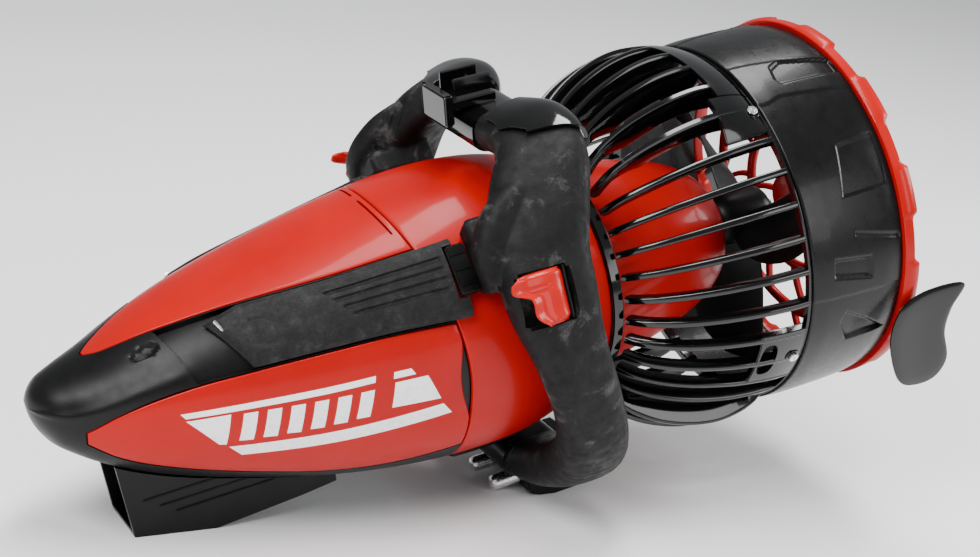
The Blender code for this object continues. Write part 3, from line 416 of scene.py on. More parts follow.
def rounded(mesh, width, segments=2, angle=30):
    """Rounds a mesh's sharp edges."""
    bm = opened(mesh)
    sharp = [e for e in bm.edges if len(e.link_faces) == 2 and e.calc_face_angle() > math.radians(angle)]
    bmesh.ops.bevel(bm, geom=sharp, offset=width, segments=segments, affect="EDGES", clamp_overlap=True)
    return closed(bm, mesh)


def box(name, low, high, round_by=0.0, segments=2):
    bm = bmesh.new()
    bmesh.ops.create_cube(bm, size=1.0)
    for v in bm.verts:
        v.co = Vector([low[i] + (v.co[i] + 0.5) * (high[i] - low[i]) for i in range(3)])
    if round_by:
        bmesh.ops.bevel(bm, geom=bm.edges, offset=round_by, segments=segments, affect="EDGES")
    return closed(bm, bpy.data.meshes.new(name))


def rod(name, start, end, radius, sides=32, round_by=0.0):
    bm = bmesh.new()
    start = Vector(start)
    end = Vector(end)
    turn = Vector((0, 0, 1)).rotation_difference(end - start).to_matrix().to_4x4()
    bmesh.ops.create_cone(
        bm,
        cap_ends=True,
        segments=sides,
        radius1=radius,
        radius2=radius,
        depth=(end - start).length,
        matrix=Matrix.Translation((start + end) / 2) @ turn,
    )
    mesh = closed(bm, bpy.data.meshes.new(name))
    return rounded(mesh, round_by, 3, 50) if round_by else mesh


def joined(name, meshes):
    """Several meshes as one, each still its own closed body."""
    bm = bmesh.new()
    for mesh in meshes:
        bm.from_mesh(mesh)
    return closed(bm, bpy.data.meshes.new(name))


def temporary(mesh):
    made = bpy.data.objects.new("temporary", mesh)
    bpy.context.scene.collection.objects.link(made)
    return made


def baked(made):
    """The mesh that an object's modifiers give, with the object removed."""
    bpy.context.view_layer.update()
    graph = bpy.context.evaluated_depsgraph_get()
    mesh = bpy.data.meshes.new_from_object(made.evaluated_get(graph))
    bpy.data.objects.remove(made)
    return mesh


def carved(mesh, *cutters):
    """A mesh with the cutters taken out of it."""
    for cutter in cutters:
        target = temporary(mesh)
        tool = temporary(cutter)
        change = target.modifiers.new("Cut", "BOOLEAN")
        change.operation = "DIFFERENCE"
        change.solver = "EXACT"
        change.object = tool
        mesh = baked(target)
        bpy.data.objects.remove(tool)
    return mesh


def melted(mesh, voxel, smoothing):
    """Overlapping bodies turned into one soft, moulded surface."""
    made = temporary(mesh)
    change = made.modifiers.new("Melt", "REMESH")
    change.mode = "VOXEL"
    change.voxel_size = voxel
    soften = made.modifiers.new("Soften", "SMOOTH")
    soften.factor = 0.6
    soften.iterations = smoothing
    return baked(made)


def flipped(mesh):
    """A mirror image across the middle of the scooter."""
    made = mesh.copy()
    made.transform(Matrix.Scale(-1, 4, Vector((1, 0, 0))))
    made.flip_normals()
    return made


def put_pair(name, mesh, look, bodies, nodes):
    """The left piece and its mirror image."""
    for side, one in zip(SIDES, (mesh, flipped(mesh))):
        body = bodies if isinstance(bodies, str) else bodies[0] + side
        put(f"{name}_{side}", one, look, body, [n.format(side=side) for n in nodes])


# ---------------------------------------------------------------- the hull's form

# Hull stations: y, half width, height of the widest line, top, bottom
HULL = (
    (-0.356, 0.0, 0.018, 0.018, 0.018),
    (-0.345, 0.0255, 0.014, 0.034, -0.013),
    (-0.330, 0.0370, 0.010, 0.040, -0.027),
    (-0.305, 0.0510, 0.006, 0.0485, -0.044),
    (-0.265, 0.0660, 0.004, 0.0665, -0.064),
    (-0.210, 0.0815, 0.002, 0.084, -0.084),
    (-0.150, 0.0945, 0.0, 0.0975, -0.102),
    (-0.090, 0.1040, 0.0, 0.108, -0.114),
    (-0.035, 0.1090, 0.0, 0.114, -0.119),
    (0.015, 0.1080, 0.0, 0.1125, -0.1175),
    (0.055, 0.1000, 0.0, 0.104, -0.106),
    (HULL_END_Y, COLLAR_R, 0.0, COLLAR_R, -COLLAR_R),
)
# Panel edges: y, then degrees round the section from its top
TOP_EDGE = ((-0.313, 0.6), (-0.300, 12.0), (-0.270, 22.0), (-0.223, 29.5), (-0.140, 36.5), (-0.050, 39.0))
BAND_EDGE = ((-0.330, 102.0), (-0.305, 78.5), (-0.265, 69.5), (-0.205, 68.0), (-0.120, 68.5), (-0.050, 71.0))
BELLY_EDGE = (
    (-0.330, 112.0), (-0.305, 126.0), (-0.269, 132.0), (-0.170, 139.0), (-0.114, 139.0), (-0.050, 132.0),
)
CREASE = ((-0.350, 80.0), (-0.3325, 78.0), (-0.303, 66.0), (-0.256, 61.5), (-0.2105, 60.0))
SEAM_TOP_Y = -0.079
SEAM_SIDE_Y = -0.050
SEAM_TURN_DEG = 100.0
SIDE_PANEL_Y = -0.325
TOP_PANEL_Y = -0.305
EDGE_STEP = 0.0004


def smooth_through(stations, x, column):
    """A smooth curve through given stations, each (x, value, ...)."""
    if x <= stations[0][0]:
        return stations[0][column]
    if x >= stations[-1][0]:
        return stations[-1][column]
    i = max(k for k in range(len(stations) - 1) if stations[k][0] <= x)

    def slope(k):
        a = stations[max(k - 1, 0)]
        b = stations[min(k + 1, len(stations) - 1)]
        return (b[column] - a[column]) / (b[0] - a[0])

    a = stations[i]
    b = stations[i + 1]
    span = b[0] - a[0]
    t = (x - a[0]) / span
    rise = (2 * t**3 - 3 * t**2 + 1) * a[column] + (3 * t**2 - 2 * t**3) * b[column]
    return rise + span * ((t**3 - 2 * t**2 + t) * slope(i) + (t**3 - t**2) * slope(i + 1))


def linear(stations, x):
    for a, b in zip(stations, stations[1:]):
        if x <= b[0]:
            return a[1] + (b[1] - a[1]) * (x - a[0]) / (b[0] - a[0])
    return stations[-1][1]


def nose_root(y):
    """The nose is round, so its stations are spaced by the root of the distance from its tip."""
    return math.sqrt(max(y - NOSE_Y, 0.0))


ROOTED_HULL = tuple((nose_root(row[0]), *row[1:]) for row in HULL)
SECTIONS = {}


def section(y):
    """Half width, middle, top and bottom of the hull at this place."""
    key = round(y, 6)
    if key not in SECTIONS:
        SECTIONS[key] = [smooth_through(ROOTED_HULL, nose_root(y), c) for c in (1, 2, 3, 4)]
    return SECTIONS[key]


def hull_point(y, degrees, inset=0.0):
    """A point of the hull's surface, moved in by inset. Degrees run from the top to the left side."""
    width, middle, top, bottom = section(y)
    turn = math.radians(degrees)
    reach = top - middle if math.cos(turn) >= 0 else middle - bottom
    across = max(width - inset, width * 0.3)
    up = max(reach - inset, reach * 0.3)
    return Vector((across * math.sin(turn), y, middle + up * math.cos(turn)))


def seam_y(degrees):
    """The joint between nose and hull sweeps back from the top to the sides."""
    t = min(abs(degrees) / SEAM_TURN_DEG, 1.0)
    t = t * t * (3 - 2 * t)
    return SEAM_TOP_Y + (SEAM_SIDE_Y - SEAM_TOP_Y) * t


def nose_y(plain_y, degrees):
    """Where the row of the nose that lies at plain_y on the sides crosses this angle."""
    along = (plain_y - NOSE_Y) / (SEAM_SIDE_Y - NOSE_Y)
    return NOSE_Y + (seam_y(degrees) - NOSE_Y) * along


def row_crossing(edge, plain_y):
    """The angle at which a row of the nose crosses a panel's edge."""
    degrees = 60.0
    for _ in range(5):
        degrees = smooth_through(edge, nose_y(plain_y, degrees), 1)
    return degrees


def edge_degrees(y):
    """The angle that a recess's wall takes up at this place."""
    return math.degrees(EDGE_STEP / section(y)[0])


def spaced(start, end, count):
    return [start + (end - start) * i / (count - 1) for i in range(count)]


def step(x, low, high):
    """0 below low, 1 above high, smooth between them."""
    t = min(max((x - low) / (high - low), 0.0), 1.0)
    return t * t * (3 - 2 * t)


def ground_z(y):
    """Height of the floor in the shaft frame."""
    return GROUND_Z + GROUND_SLOPE * (y - GROUND_Y)


# ---------------------------------------------------------------- nose

RECESS_DEPTH = 0.006


def band_depth(y, degrees):
    """The black band between the red panels: a raised crease, an oval dimple and the latch's recess."""
    crease = smooth_through(CREASE, y, 1)
    fade = 1 - step(y, -0.262, -0.235)
    bulge = -0.0016 * math.exp(-(((degrees - crease) / 7.0) ** 2)) * fade
    across = (degrees - 35.5) * section(y)[0] * math.pi / 180
    spot = ((y + 0.2735) / 0.0105) ** 2 + (across / 0.0050) ** 2
    dimple = 0.0030 * (1 - step(spot, 0.55, 1.15))
    front = -0.2590 + (degrees - 34.0) * 0.00038
    return bulge + dimple + RECESS_DEPTH * step(y, front - 0.0005, front + 0.0005)


def nose_columns(y):
    """(degrees, depth) round half the nose frame."""
    edge = edge_degrees(y)
    top = max(row_crossing(TOP_EDGE, y), 2.5 * edge)
    band = row_crossing(BAND_EDGE, y)
    belly = row_crossing(BELLY_EDGE, y)
    skin = SKIN + 4 * GAP
    top_skin = skin * min(1.0, top / 4.0) if y > TOP_PANEL_Y - 0.001 else 0.0
    side_skin = skin if y > SIDE_PANEL_Y - 0.001 else 0.0
    columns = [(a, top_skin) for a in spaced(0.0, top - edge, 12)] + [(top + edge, 0.0)]
    low = top + 3 * edge
    high = band - 3 * edge
    for a in [low - edge] + spaced(low + edge, high - edge, 26) + [high + edge]:
        depth = band_depth(nose_y(y, a), a)
        inside = low < a < high
        columns.append((a, depth if inside else min(depth, 0.0)))
    columns += [(band - edge, 0.0)] + [(a, side_skin) for a in spaced(band + edge, belly - edge, 20)]
    columns += [(a, 0.0) for a in spaced(belly + edge, 180.0, 12)]
    return columns


def nose_rows():
    """Rows along the nose, closer together at its tip and where the recesses begin."""
    length = SEAM_SIDE_Y - NOSE_Y
    rows = [NOSE_Y + length * max(i / 149, 0.004) ** 1.7 for i in range(150)]
    for edge in (SIDE_PANEL_Y - 0.001, TOP_PANEL_Y - 0.001):
        rows += [edge - 0.0003, edge + 0.0003]
    rows += spaced(-0.2570, -0.2430, 24)
    return sorted(rows)


def make_nose_frame():
    outer = []
    inner = []
    for y in nose_rows():
        half = nose_columns(y)
        ring = half + [(-a, r) for a, r in reversed(half[1:-1])]
        back = 0.0035 * (1 - (y - NOSE_Y) / (SEAM_SIDE_Y - NOSE_Y))
        outer.append([hull_point(nose_y(y, a), a, r) for a, r in ring])
        inner.append([hull_point(nose_y(y, a), a, r + WALL) + Vector((0, back, 0)) for a, r in ring])
    mesh = shell("nose_frame_look", outer, inner, wrap=True, cap_start=True)
    put("nose_frame_look", mesh, SATIN, "nose", "nose_frame", 28)


ROUND_STEPS = ((0.0, 0.0010), (0.00025, 0.0005), (0.0006, 0.00015), (0.0012, 0.0))


def rolled(low, high, count):
    """(position, inset) from low to high, rolled over at both ends."""
    sign = 1 if high > low else -1
    ends = [(low + sign * d, i) for d, i in ROUND_STEPS]
    middle = [(p, 0.0) for p in spaced(ends[-1][0], high - sign * ROUND_STEPS[-1][0], count)[1:-1]]
    return ends + middle + [(high - sign * d, i) for d, i in reversed(ROUND_STEPS)]


def side_slot(degrees):
    """How far the side panel's rear edge stands back from the seam, which leaves a slot."""
    t = (degrees - 78.0) / 36.0
    return 0.0062 * math.sin(math.pi * t) ** 1.3 if 0 < t < 1 else 0.0


def skin(name, front_y, edges, count):
    """A thin moulded panel on the nose between two angles that change along it."""

    def columns(row):
        low, high = edges(row[0])
        scale = math.degrees(1 / section(row[0])[0])
        return [(at * scale, inset) for at, inset in rolled(low / scale, high / scale, count)]

    def points(row, column):
        a = column[0]
        place = nose_y(row[0], a)
        slot = side_slot(a) * step(place, seam_y(a) - 0.03, seam_y(a))
        dip = max(row[1], column[1]) + slot * 0.35 * step(place, seam_y(a) - 0.012, seam_y(a))
        return hull_point(place - slot, a, dip), hull_point(place - slot, a, max(SKIN, dip + 0.0006))

    return between(name, rolled(front_y, SEAM_SIDE_Y - 0.0002, 70), columns, points)


def make_nose_skins():
    def top_edges(y):
        reach = max(row_crossing(TOP_EDGE, y) - 1.6 * edge_degrees(y), 3.1 * edge_degrees(y))
        return -reach, reach

    def side_edges(y):
        low = row_crossing(BAND_EDGE, y) + 1.6 * edge_degrees(y)
        return low, row_crossing(BELLY_EDGE, y) - 1.6 * edge_degrees(y)

    top = skin("nose_top_look", TOP_PANEL_Y, top_edges, 40)
    slits = []
    for sign in (1, -1):
        rings = []
        for a in spaced(3.0, 29.0, 10):
            low = hull_point(seam_y(a) - 0.0052, a * sign, 0.010)
            high = hull_point(seam_y(a) - 0.0052, a * sign, -0.004)
            half = Vector((0, 0.0009, 0))
            rings.append([low - half, low + half, high + half, high - half])
        slits.append(loft("slit", rings))
    put("nose_top_look", carved(top, *slits), RED, "nose", "nose_top_panel")
    side = skin("nose_side_look", SIDE_PANEL_Y, side_edges, 46)
    put_pair("nose_side_look", side, RED, "nose", ["nose_side_panel_{side}"])


# Print on the side panels: four corners each, as (y, degrees), round the outline
STRIPES = (
    ((-0.263, 83.8), (-0.123, 83.2), (-0.124, 86.0), (-0.260, 87.4)),
    ((-0.109, 83.6), (-0.096, 83.8), (-0.093, 86.6), (-0.110, 86.4)),
    ((-0.260, 89.3), (-0.229, 88.5), (-0.234, 107.5), (-0.239, 107.2)),
    ((-0.109, 88.2), (-0.084, 88.5), (-0.075, 99.6), (-0.113, 99.0)),
    ((-0.232, 109.6), (-0.073, 102.4), (-0.066, 107.6), (-0.223, 116.4)),
)
BAR_COUNT = 6
BAR_START_Y = -0.220
BAR_PITCH = 0.0170
BAR_WIDTH = 0.0100
BAR_LEAN = -0.0050
BAR_TOP_DEG = 89.2
BAR_LOW_DEG = 105.4
BAR_RISE_DEG = 0.85


def decal(corners):
    """A thin film on the hull between four corners."""
    a, b, c, d = corners

    def points(v, u):
        y = (a[0] * (1 - u) + b[0] * u) * (1 - v) + (d[0] * (1 - u) + c[0] * u) * v
        degrees = (a[1] * (1 - u) + b[1] * u) * (1 - v) + (d[1] * (1 - u) + c[1] * u) * v
        return hull_point(y, degrees, -0.00022), hull_point(y, degrees, 0.00010)

    return between("decal", spaced(0.0, 1.0, 9), spaced(0.0, 1.0, 25), points)


def make_decals():
    """White stripes, with plain slanted bars between the two blocks."""
    shapes = list(STRIPES)
    for k in range(BAR_COUNT):
        y = BAR_START_Y + BAR_PITCH * k
        end = y + BAR_WIDTH
        low = BAR_LOW_DEG - BAR_RISE_DEG * k
        shapes.append(((y, BAR_TOP_DEG), (end, BAR_TOP_DEG), (end + BAR_LEAN, low), (y + BAR_LEAN, low)))
    mesh = joined("side_print", [decal(corners) for corners in shapes])
    put_pair("side_print", mesh, WHITE, "nose", [])


def make_keel_skid():
    """A hollow foot under the nose, open in front and on top, with its sole on the floor."""
    half = 0.026
    wall = 0.0035
    rear = -0.135

    def under(y, x):
        """The hull's underside here, less a small gap."""
        width, middle, _, bottom = section(y)
        return middle - (middle - bottom) * math.sqrt(max(0.0, 1 - (x / width) ** 2)) - 2 * GAP

    top = [(y, under(y, half - wall)) for y in spaced(-0.306, rear, 24)]
    foot = [(rear, -0.1095), (-0.165, -0.1125), (-0.236, ground_z(-0.236)), (-0.300, ground_z(-0.300))]
    outline = top + foot
    body = loft("skid", [[Vector((x, y, z)) for y, z in outline] for x in (-half, half)])
    ring = [(-0.33, 0.03), (rear + 0.01, 0.03), (rear + 0.01, -0.1062), (-0.167, -0.109)]
    ring += [(-0.237, ground_z(-0.237) + wall), (-0.33, ground_z(-0.33) + wall)]
    hollow = loft("hollow", [[Vector((x, y, z)) for y, z in ring] for x in (-half + wall, half - wall)])
    flutes = []
    for sign in (1, -1):
        for k in range(3):
            z = -0.074 - 0.0085 * k
            x = sorted((sign * (half - 0.0012), sign * (half + 0.01)))
            flutes.append(box("flute", (x[0], -0.290 + 0.012 * k, z), (x[1], -0.185, z + 0.0035), 0.0008))
    mesh = rounded(carved(body, hollow, *flutes), 0.0009, 2, 40)
    put("keel_skid_look", mesh, SATIN, "nose", "keel_skid")


# ---------------------------------------------------------------- latches

LATCH_FRONT_Y = -0.2300
LATCH_FRONT_LOW_Y = -0.2060
LATCH_REAR_Y = -0.044
LATCH_PIN_Y = -0.2155
LATCH_PIN_LENGTH = 0.036
LATCH_AXIS = Vector((0.60, 0.45, -0.72)).normalized()
LATCH_OUTER = ((0.0, -0.0012), (0.05, -0.0022), (0.5, -0.003), (0.85, -0.0055), (1.0, -0.008))
LATCH_INNER = ((0.0, 0.0018), (0.05, 0.0048), (0.5, 0.0050), (0.74, 0.0048), (0.83, -0.0014), (1.0, -0.0014))
GROOVES = (0.22, 0.35, 0.48, 0.61)
NOTCH_TURN = math.radians(50.0)
# The lever's front corner is cut back over this share of its length, so that it clears the nose when it opens
CORNER_TRIM_DEG = 5.0
CORNER_TRIM_SHARE = 0.14


def latch_edges(y):
    low = smooth_through(TOP_EDGE, y, 1) + 5.5 * edge_degrees(y)
    high = smooth_through(BAND_EDGE, y, 1) - 5.5 * edge_degrees(y)
    return low, high


def latch_pin_point(share):
    """A place along the lever's pin, from one end to the other."""
    low, high = latch_edges(LATCH_FRONT_Y)
    middle = hull_point(LATCH_PIN_Y, (low + high) / 2, 0.0012)
    return middle + LATCH_AXIS * (share - 0.5) * LATCH_PIN_LENGTH


def latch_relief(share, across):
    """The lever's face: chamfered border, grip grooves with slanted fronts, and a shallow thumb pad."""
    side = min(across, 1 - across)
    drop = 0.0016 * (1 - step(side, 0.0, 0.085)) + 0.0012 * (1 - step(share, 0.0, 0.03))
    for centre in GROOVES:
        start = 0.44 + 0.16 * (centre - GROOVES[0])
        inside = step(share, start, start + 0.015) * (1 - step(share, 0.925, 0.94))
        drop += 0.0017 * inside * (1 - step(abs(across - centre), 0.016, 0.034))
    pad = ((share - 0.14) / 0.085) ** 2 + ((across - 0.52) / 0.24) ** 2
    return drop + 0.0006 * (1 - step(pad, 0.7, 1.2))


def notch_frame():
    place = hull_point(LATCH_REAR_Y, 52.8)
    return Matrix.Translation(place) @ Matrix.Rotation(NOTCH_TURN, 4, "Y")


def make_latches():
    """The levers, their forks cut to fit round the catches, and the pins they turn on."""

    def points(share, across):
        front = LATCH_FRONT_Y + (LATCH_FRONT_LOW_Y - LATCH_FRONT_Y) * across
        y = front + (LATCH_REAR_Y - front) * share
        low, high = latch_edges(y)
        low += CORNER_TRIM_DEG * max(0.0, 1 - share / CORNER_TRIM_SHARE)
        angle = low + (high - low) * across
        lift = smooth_through(LATCH_OUTER, share, 1) + latch_relief(share, across)
        inset = max(linear(LATCH_INNER, share), lift + 0.0012)
        return hull_point(y, angle, lift), hull_point(y, angle, inset)

    shares = spaced(0.0, 0.42, 26) + spaced(0.425, 0.50, 14) + spaced(0.51, 0.91, 22) + spaced(0.915, 1.0, 14)
    notch = box("notch", (-0.0203, -0.008, -0.03), (0.0203, 0.04, 0.03))
    notch.transform(notch_frame())
    mesh = carved(between("latch_look", shares, spaced(0.0, 1.0, 71), points), notch)
    put_pair("latch_look", mesh, LATCH, ("latch_",), ["latch_lever_{side}"])
    pin = rod("pin", latch_pin_point(0.02), latch_pin_point(0.98), 0.0014, 24, round_by=0.0003)
    put_pair("latch_pin_look", pin, STEEL, "nose", ["latch_pin_{side}"])


def make_catches():
    """The block on the hull that the latch's fork closes round, with a stepped, lit front edge."""
    parts = [box("catch", (-0.0195, -0.0065, 0.0026), (0.0195, 0.0092, 0.0085), 0.0014, 3)]
    for k in range(3):
        x = -0.012 + 0.012 * k
        parts.append(box("rib", (x - 0.0012, -0.0050, 0.0080), (x + 0.0012, 0.0078, 0.0092), 0.0004))
    mesh = joined("latch_catch_look", parts)
    mesh.transform(notch_frame())
    put_pair("latch_catch_look", mesh, SATIN, "hull", ["latch_catch_{side}"])


# ---------------------------------------------------------------- hull


def hull_patch(ys, angles, out_inset, in_inset, wrap=False):
    """A shell that follows the hull, between two insets."""

    def points(y, a):
        return hull_point(y, a, out_inset), hull_point(y, a, in_inset)

    return between("patch", ys, angles, points, wrap)


def make_main_hull():
    """The red body behind the nose, and the saddle under it for the handle ring."""
    half = spaced(0.0, 180.0, 91)
    ring = half + [-a for a in reversed(half[1:-1])]
    outer = []
    inner = []
    shares = [(0.0, 0.0010), (0.002, 0.0005), (0.005, 0.00015), (0.010, 0.0)]
    shares += [(s, 0.0) for s in spaced(0.02, 1.0, 60)]
    for share, inset in shares:
        ys = [seam_y(a) + 0.001 + (HULL_END_Y - seam_y(a) - 0.001) * share for a in ring]
        outer.append([hull_point(y, a, inset) for y, a in zip(ys, ring)])
        inner.append([hull_point(y, a, WALL * 1.1) for y, a in zip(ys, ring)])
    mesh = shell("main_hull_look", outer, inner, wrap=True)
    put("main_hull_look", mesh, RED, "hull", "main_hull")
    saddle = hull_patch(spaced(-0.040, 0.050, 20), spaced(158.0, 202.0, 33), -0.0035, -4 * GAP)
    saddle = rounded(saddle, 0.0006, 2, 50)
    put("handle_saddle_look", saddle, SATIN, "hull", "handle_saddle")


# ---------------------------------------------------------------- handle ring

# Half the ring: centre, half its fore-and-aft size, half its thickness, and how far its rear edge is raised
RING = (
    ((0.034, 0.030, 0.1500), 0.026, 0.0165, 0.0),
    ((0.060, 0.038, 0.1480), 0.032, 0.0180, 8.0),
    ((0.085, 0.033, 0.1365), 0.035, 0.0190, 19.0),
    ((0.103, 0.018, 0.1105), 0.038, 0.0195, 21.0),
    ((0.120, 0.009, 0.0810), 0.036, 0.0205, 12.0),
    ((0.137, 0.007, 0.0500), 0.035, 0.0200, 4.0),
    ((0.144, 0.015, 0.0100), 0.029, 0.0180, 0.0),
    ((0.141, 0.028, -0.0350), 0.027, 0.0180, 0.0),
    ((0.130, 0.038, -0.0750), 0.028, 0.0200, 0.0),
    ((0.105, 0.045, -0.1080), 0.030, 0.0220, 0.0),
    ((0.070, 0.041, -0.1290), 0.030, 0.0200, 0.0),
    ((0.036, 0.035, -0.1390), 0.028, 0.0160, 0.0),
)
RING_ROWS = tuple((k, *row[0], *row[1:]) for k, row in enumerate(RING))
SEAM_LINE = 40.0


def ring_section(centre, along, wide, thick, roll=0.0, sides=96, power=0.8, groove=0.0):
    """A rounded section square to the ring. Its long side lies fore and aft, rolled about the ring's line."""
    fore = Vector((0, 1, 0)) - along * along.y
    fore.normalize()
    out = along.cross(fore)
    lean = math.radians(roll)
    fore, out = fore * math.cos(lean) + out * math.sin(lean), out * math.cos(lean) - fore * math.sin(lean)
    points = []
    for k in range(sides):
        turn = 2 * math.pi * k / sides
        c = math.copysign(abs(math.cos(turn)) ** power, math.cos(turn))
        s = math.copysign(abs(math.sin(turn)) ** power, math.sin(turn))
        away = (math.degrees(turn) - SEAM_LINE + 180) % 360 - 180
        dip = 1 - groove * math.exp(-((away / 2.0) ** 2))
        points.append(centre + (fore * wide * c + out * thick * s) * dip)
    return points


def ring_point(place):
    """Centre, direction, half width, half thickness and roll of the ring here, counted in stations."""

    def at(x):
        return [smooth_through(RING_ROWS, x, c) for c in range(1, 7)]

    here = at(place)
    before = Vector(at(max(place - 0.05, 0))[:3])
    after = Vector(at(min(place + 0.05, len(RING) - 1))[:3])
    return Vector(here[:3]), (after - before).normalized(), here[3], here[4], here[5]


# Triggers: a face point on the grip, and the directions along the trigger and out of the grip
TRIGGER_FACE = Vector((0.1532, 0.0, 0.0630))
TRIGGER_UP = Vector((-0.35, 0.0, 0.937)).normalized()
TRIGGER_OUT = Vector((0.937, 0.0, 0.35)).normalized()
TRIGGER_HALF = 0.020
TRIGGER_PIN = (-0.0060, 0.0140)
TRIGGER_OUTLINE = (
    (-0.0085, 0.0110), (-0.0040, 0.0110), (0.0005, 0.0035), (0.0025, -0.0080), (0.0035, -0.0190),
    (0.0075, -0.0290), (0.0055, -0.0300), (0.0000, -0.0215), (-0.0035, -0.0210), (-0.0055, -0.0080),
    (-0.0085, 0.0040),
)
TRIGGER_REACH = ((-0.020, 0.55), (-0.011, 0.76), (0.003, 0.80), (0.009, 1.10), (0.015, 1.12), (0.020, 1.04))
# The pockets that a trigger moves in: two corners as (height, y), and their reach along the trigger
POCKETS = (
    ((-0.0170, -0.0237), (0.03, 0.0172), (-0.0212, 0.0212)),
    ((-0.0085, -0.0380), (0.04, -0.0200), (0.0010, 0.0222)),
)
# The web from the ring's shoulder down to its arm on the hull: centre, half size fore and aft, half thickness
WEB = (
    ((0.0980, 0.010, 0.1240), 0.014, 0.0110),
    ((0.1030, -0.007, 0.1080), 0.021, 0.0130),
    ((0.1090, -0.017, 0.0880), 0.024, 0.0140),
    ((0.1150, -0.017, 0.0660), 0.020, 0.0130),
)
EYE_LOW = (0.079, -0.02, 0.112)
EYE_HIGH = (0.076, -0.002, 0.150)
EYE_R = 0.0062
WEB_ROWS = tuple((k, *row[0], *row[1:]) for k, row in enumerate(WEB))


def trigger_point(out, y, up):
    """A place by its height over the grip's face, its y and its place along the trigger."""
    place = TRIGGER_FACE + TRIGGER_OUT * out + TRIGGER_UP * up
    return Vector((place.x, y, place.z))


def trigger_block(low, high, ups):
    """A block between two corners, each (out, y), that reaches along the trigger through ups."""
    corners = ((low[0], low[1]), (high[0], low[1]), (high[0], high[1]), (low[0], high[1]))
    rings = [[trigger_point(out, y, up) for out, y in corners] for up in ups]
    return loft("block", rings)


def make_grips():
    """Half the ring, its web and the arm on the hull as one moulding, with pockets and an eye hole."""
    rings = []
    last = len(RING) - 1
    for place in spaced(0.0, last, 12 * last + 1):
        centre, along, wide, thick, roll = ring_point(place)
        if place in (0.0, last):
            along = Vector((1, 0, 0))
        waves = 0.012 * math.sin(place * 40.0) * step(place, 7.4, 8.0) * (1 - step(place, 9.6, 10.2))
        rings.append(ring_section(centre, along, wide, thick * (0.985 + waves), roll, 144, 0.72, 0.05))

    def arm_points(y, a):
        return hull_point(y, a, -0.022 - 0.06 * max(y, 0)), hull_point(y, a, -0.0012)

    arm = between("arm", spaced(-0.034, 0.020, 14), spaced(38.0, 64.0, 14), arm_points)
    web = []
    for k in spaced(0.0, len(WEB) - 1, 25):
        at = [Vector(smooth_through(WEB_ROWS, k + d, c) for c in (1, 2, 3)) for d in (-0.05, 0.0, 0.05)]
        wide = smooth_through(WEB_ROWS, k, 4)
        web.append(ring_section(at[1], (at[2] - at[0]).normalized(), wide, smooth_through(WEB_ROWS, k, 5)))
    bodies = [loft("ring", rings), loft("web", web), rounded(arm, 0.0025, 3, 60)]
    mesh = melted(joined("grip", bodies), 0.0015, 4)
    pockets = [rounded(trigger_block(*pocket), 0.0030, 3, 60) for pocket in POCKETS]
    eye = rod("eye", EYE_LOW, EYE_HIGH, EYE_R, 24)
    mesh = rounded(carved(mesh, *pockets), 0.0006, 2, 60)
    put_pair("grip_look", carved(mesh, eye), GRIP, "hull", ["grip_{side}"])


def curve_through(points, steps):
    """A closed smooth outline through these points."""
    count = len(points)
    made = []
    for i in range(count):
        p = [points[(i + k) % count] for k in (-1, 0, 1, 2)]
        for j in range(steps):
            t = j / steps
            place = []
            for axis in range(len(p[0])):
                a, b, c, d = (q[axis] for q in p)
                place.append(0.5 * (2 * b + (c - a) * t + (2 * a - 5 * b + 4 * c - d) * t**2
                                    + (3 * b - a - 3 * c + d) * t**3))
            made.append(tuple(place))
    return made


def make_triggers():
    """Red throttle levers: a leaf-shaped pad with a raised lip at its top and fine grip lines across it."""
    outline = curve_through(TRIGGER_OUTLINE, 6)
    start = TRIGGER_OUTLINE[0][1]
    rings = []
    for up in spaced(-TRIGGER_HALF, TRIGGER_HALF, 80):
        end = 1 - step(TRIGGER_HALF - abs(up), 0.0, 0.0045)
        reach = smooth_through(TRIGGER_REACH, up, 1) * (1 - 0.16 * end)
        lines = 0.0
        for at in (0.0065, 0.0105):
            lines += 0.0007 * math.exp(-(((up - at) / 0.0006) ** 2))
        ring = []
        for out, y in outline:
            face = step(out, -0.004, 0.001)
            across = step(y, -0.024, -0.020) * (1 - step(y, -0.004, 0.0))
            low = face * (lines * across + 0.0032 * end**2)
            ring.append(trigger_point(out - low, start - 0.0025 * end + (y - start) * reach, up))
        rings.append(ring)
    mesh = loft("trigger", rings)
    put_pair("trigger_look", mesh, TRIGGER_RED, ("trigger_",), ["trigger_{side}"])
    ends = [trigger_point(*TRIGGER_PIN, up) for up in (-TRIGGER_HALF, TRIGGER_HALF)]
    pin = rod("pin", *ends, 0.0015, 24)
    put_pair("trigger_pin_look", pin, BLACKENED, "hull", ["trigger_pin_{side}"])
    leaf = trigger_block((-0.0169, -0.012), (-0.0164, 0.010), (-0.005, 0.005))
    put_pair("trigger_spring_look", leaf, STEEL, "hull", ["trigger_spring_{side}"])


def make_bridge(node, look, centre, half_length, wide, thick):
    """A bar across the middle that joins the two grips."""
    rings = []
    for x in spaced(-half_length, half_length, 24):
        rings.append(ring_section(Vector((x, *centre)), Vector((1, 0, 0)), wide, thick, 0.0, 96, 0.7))
    put(f"{node}_look", loft("bridge", rings), look, "hull", node)


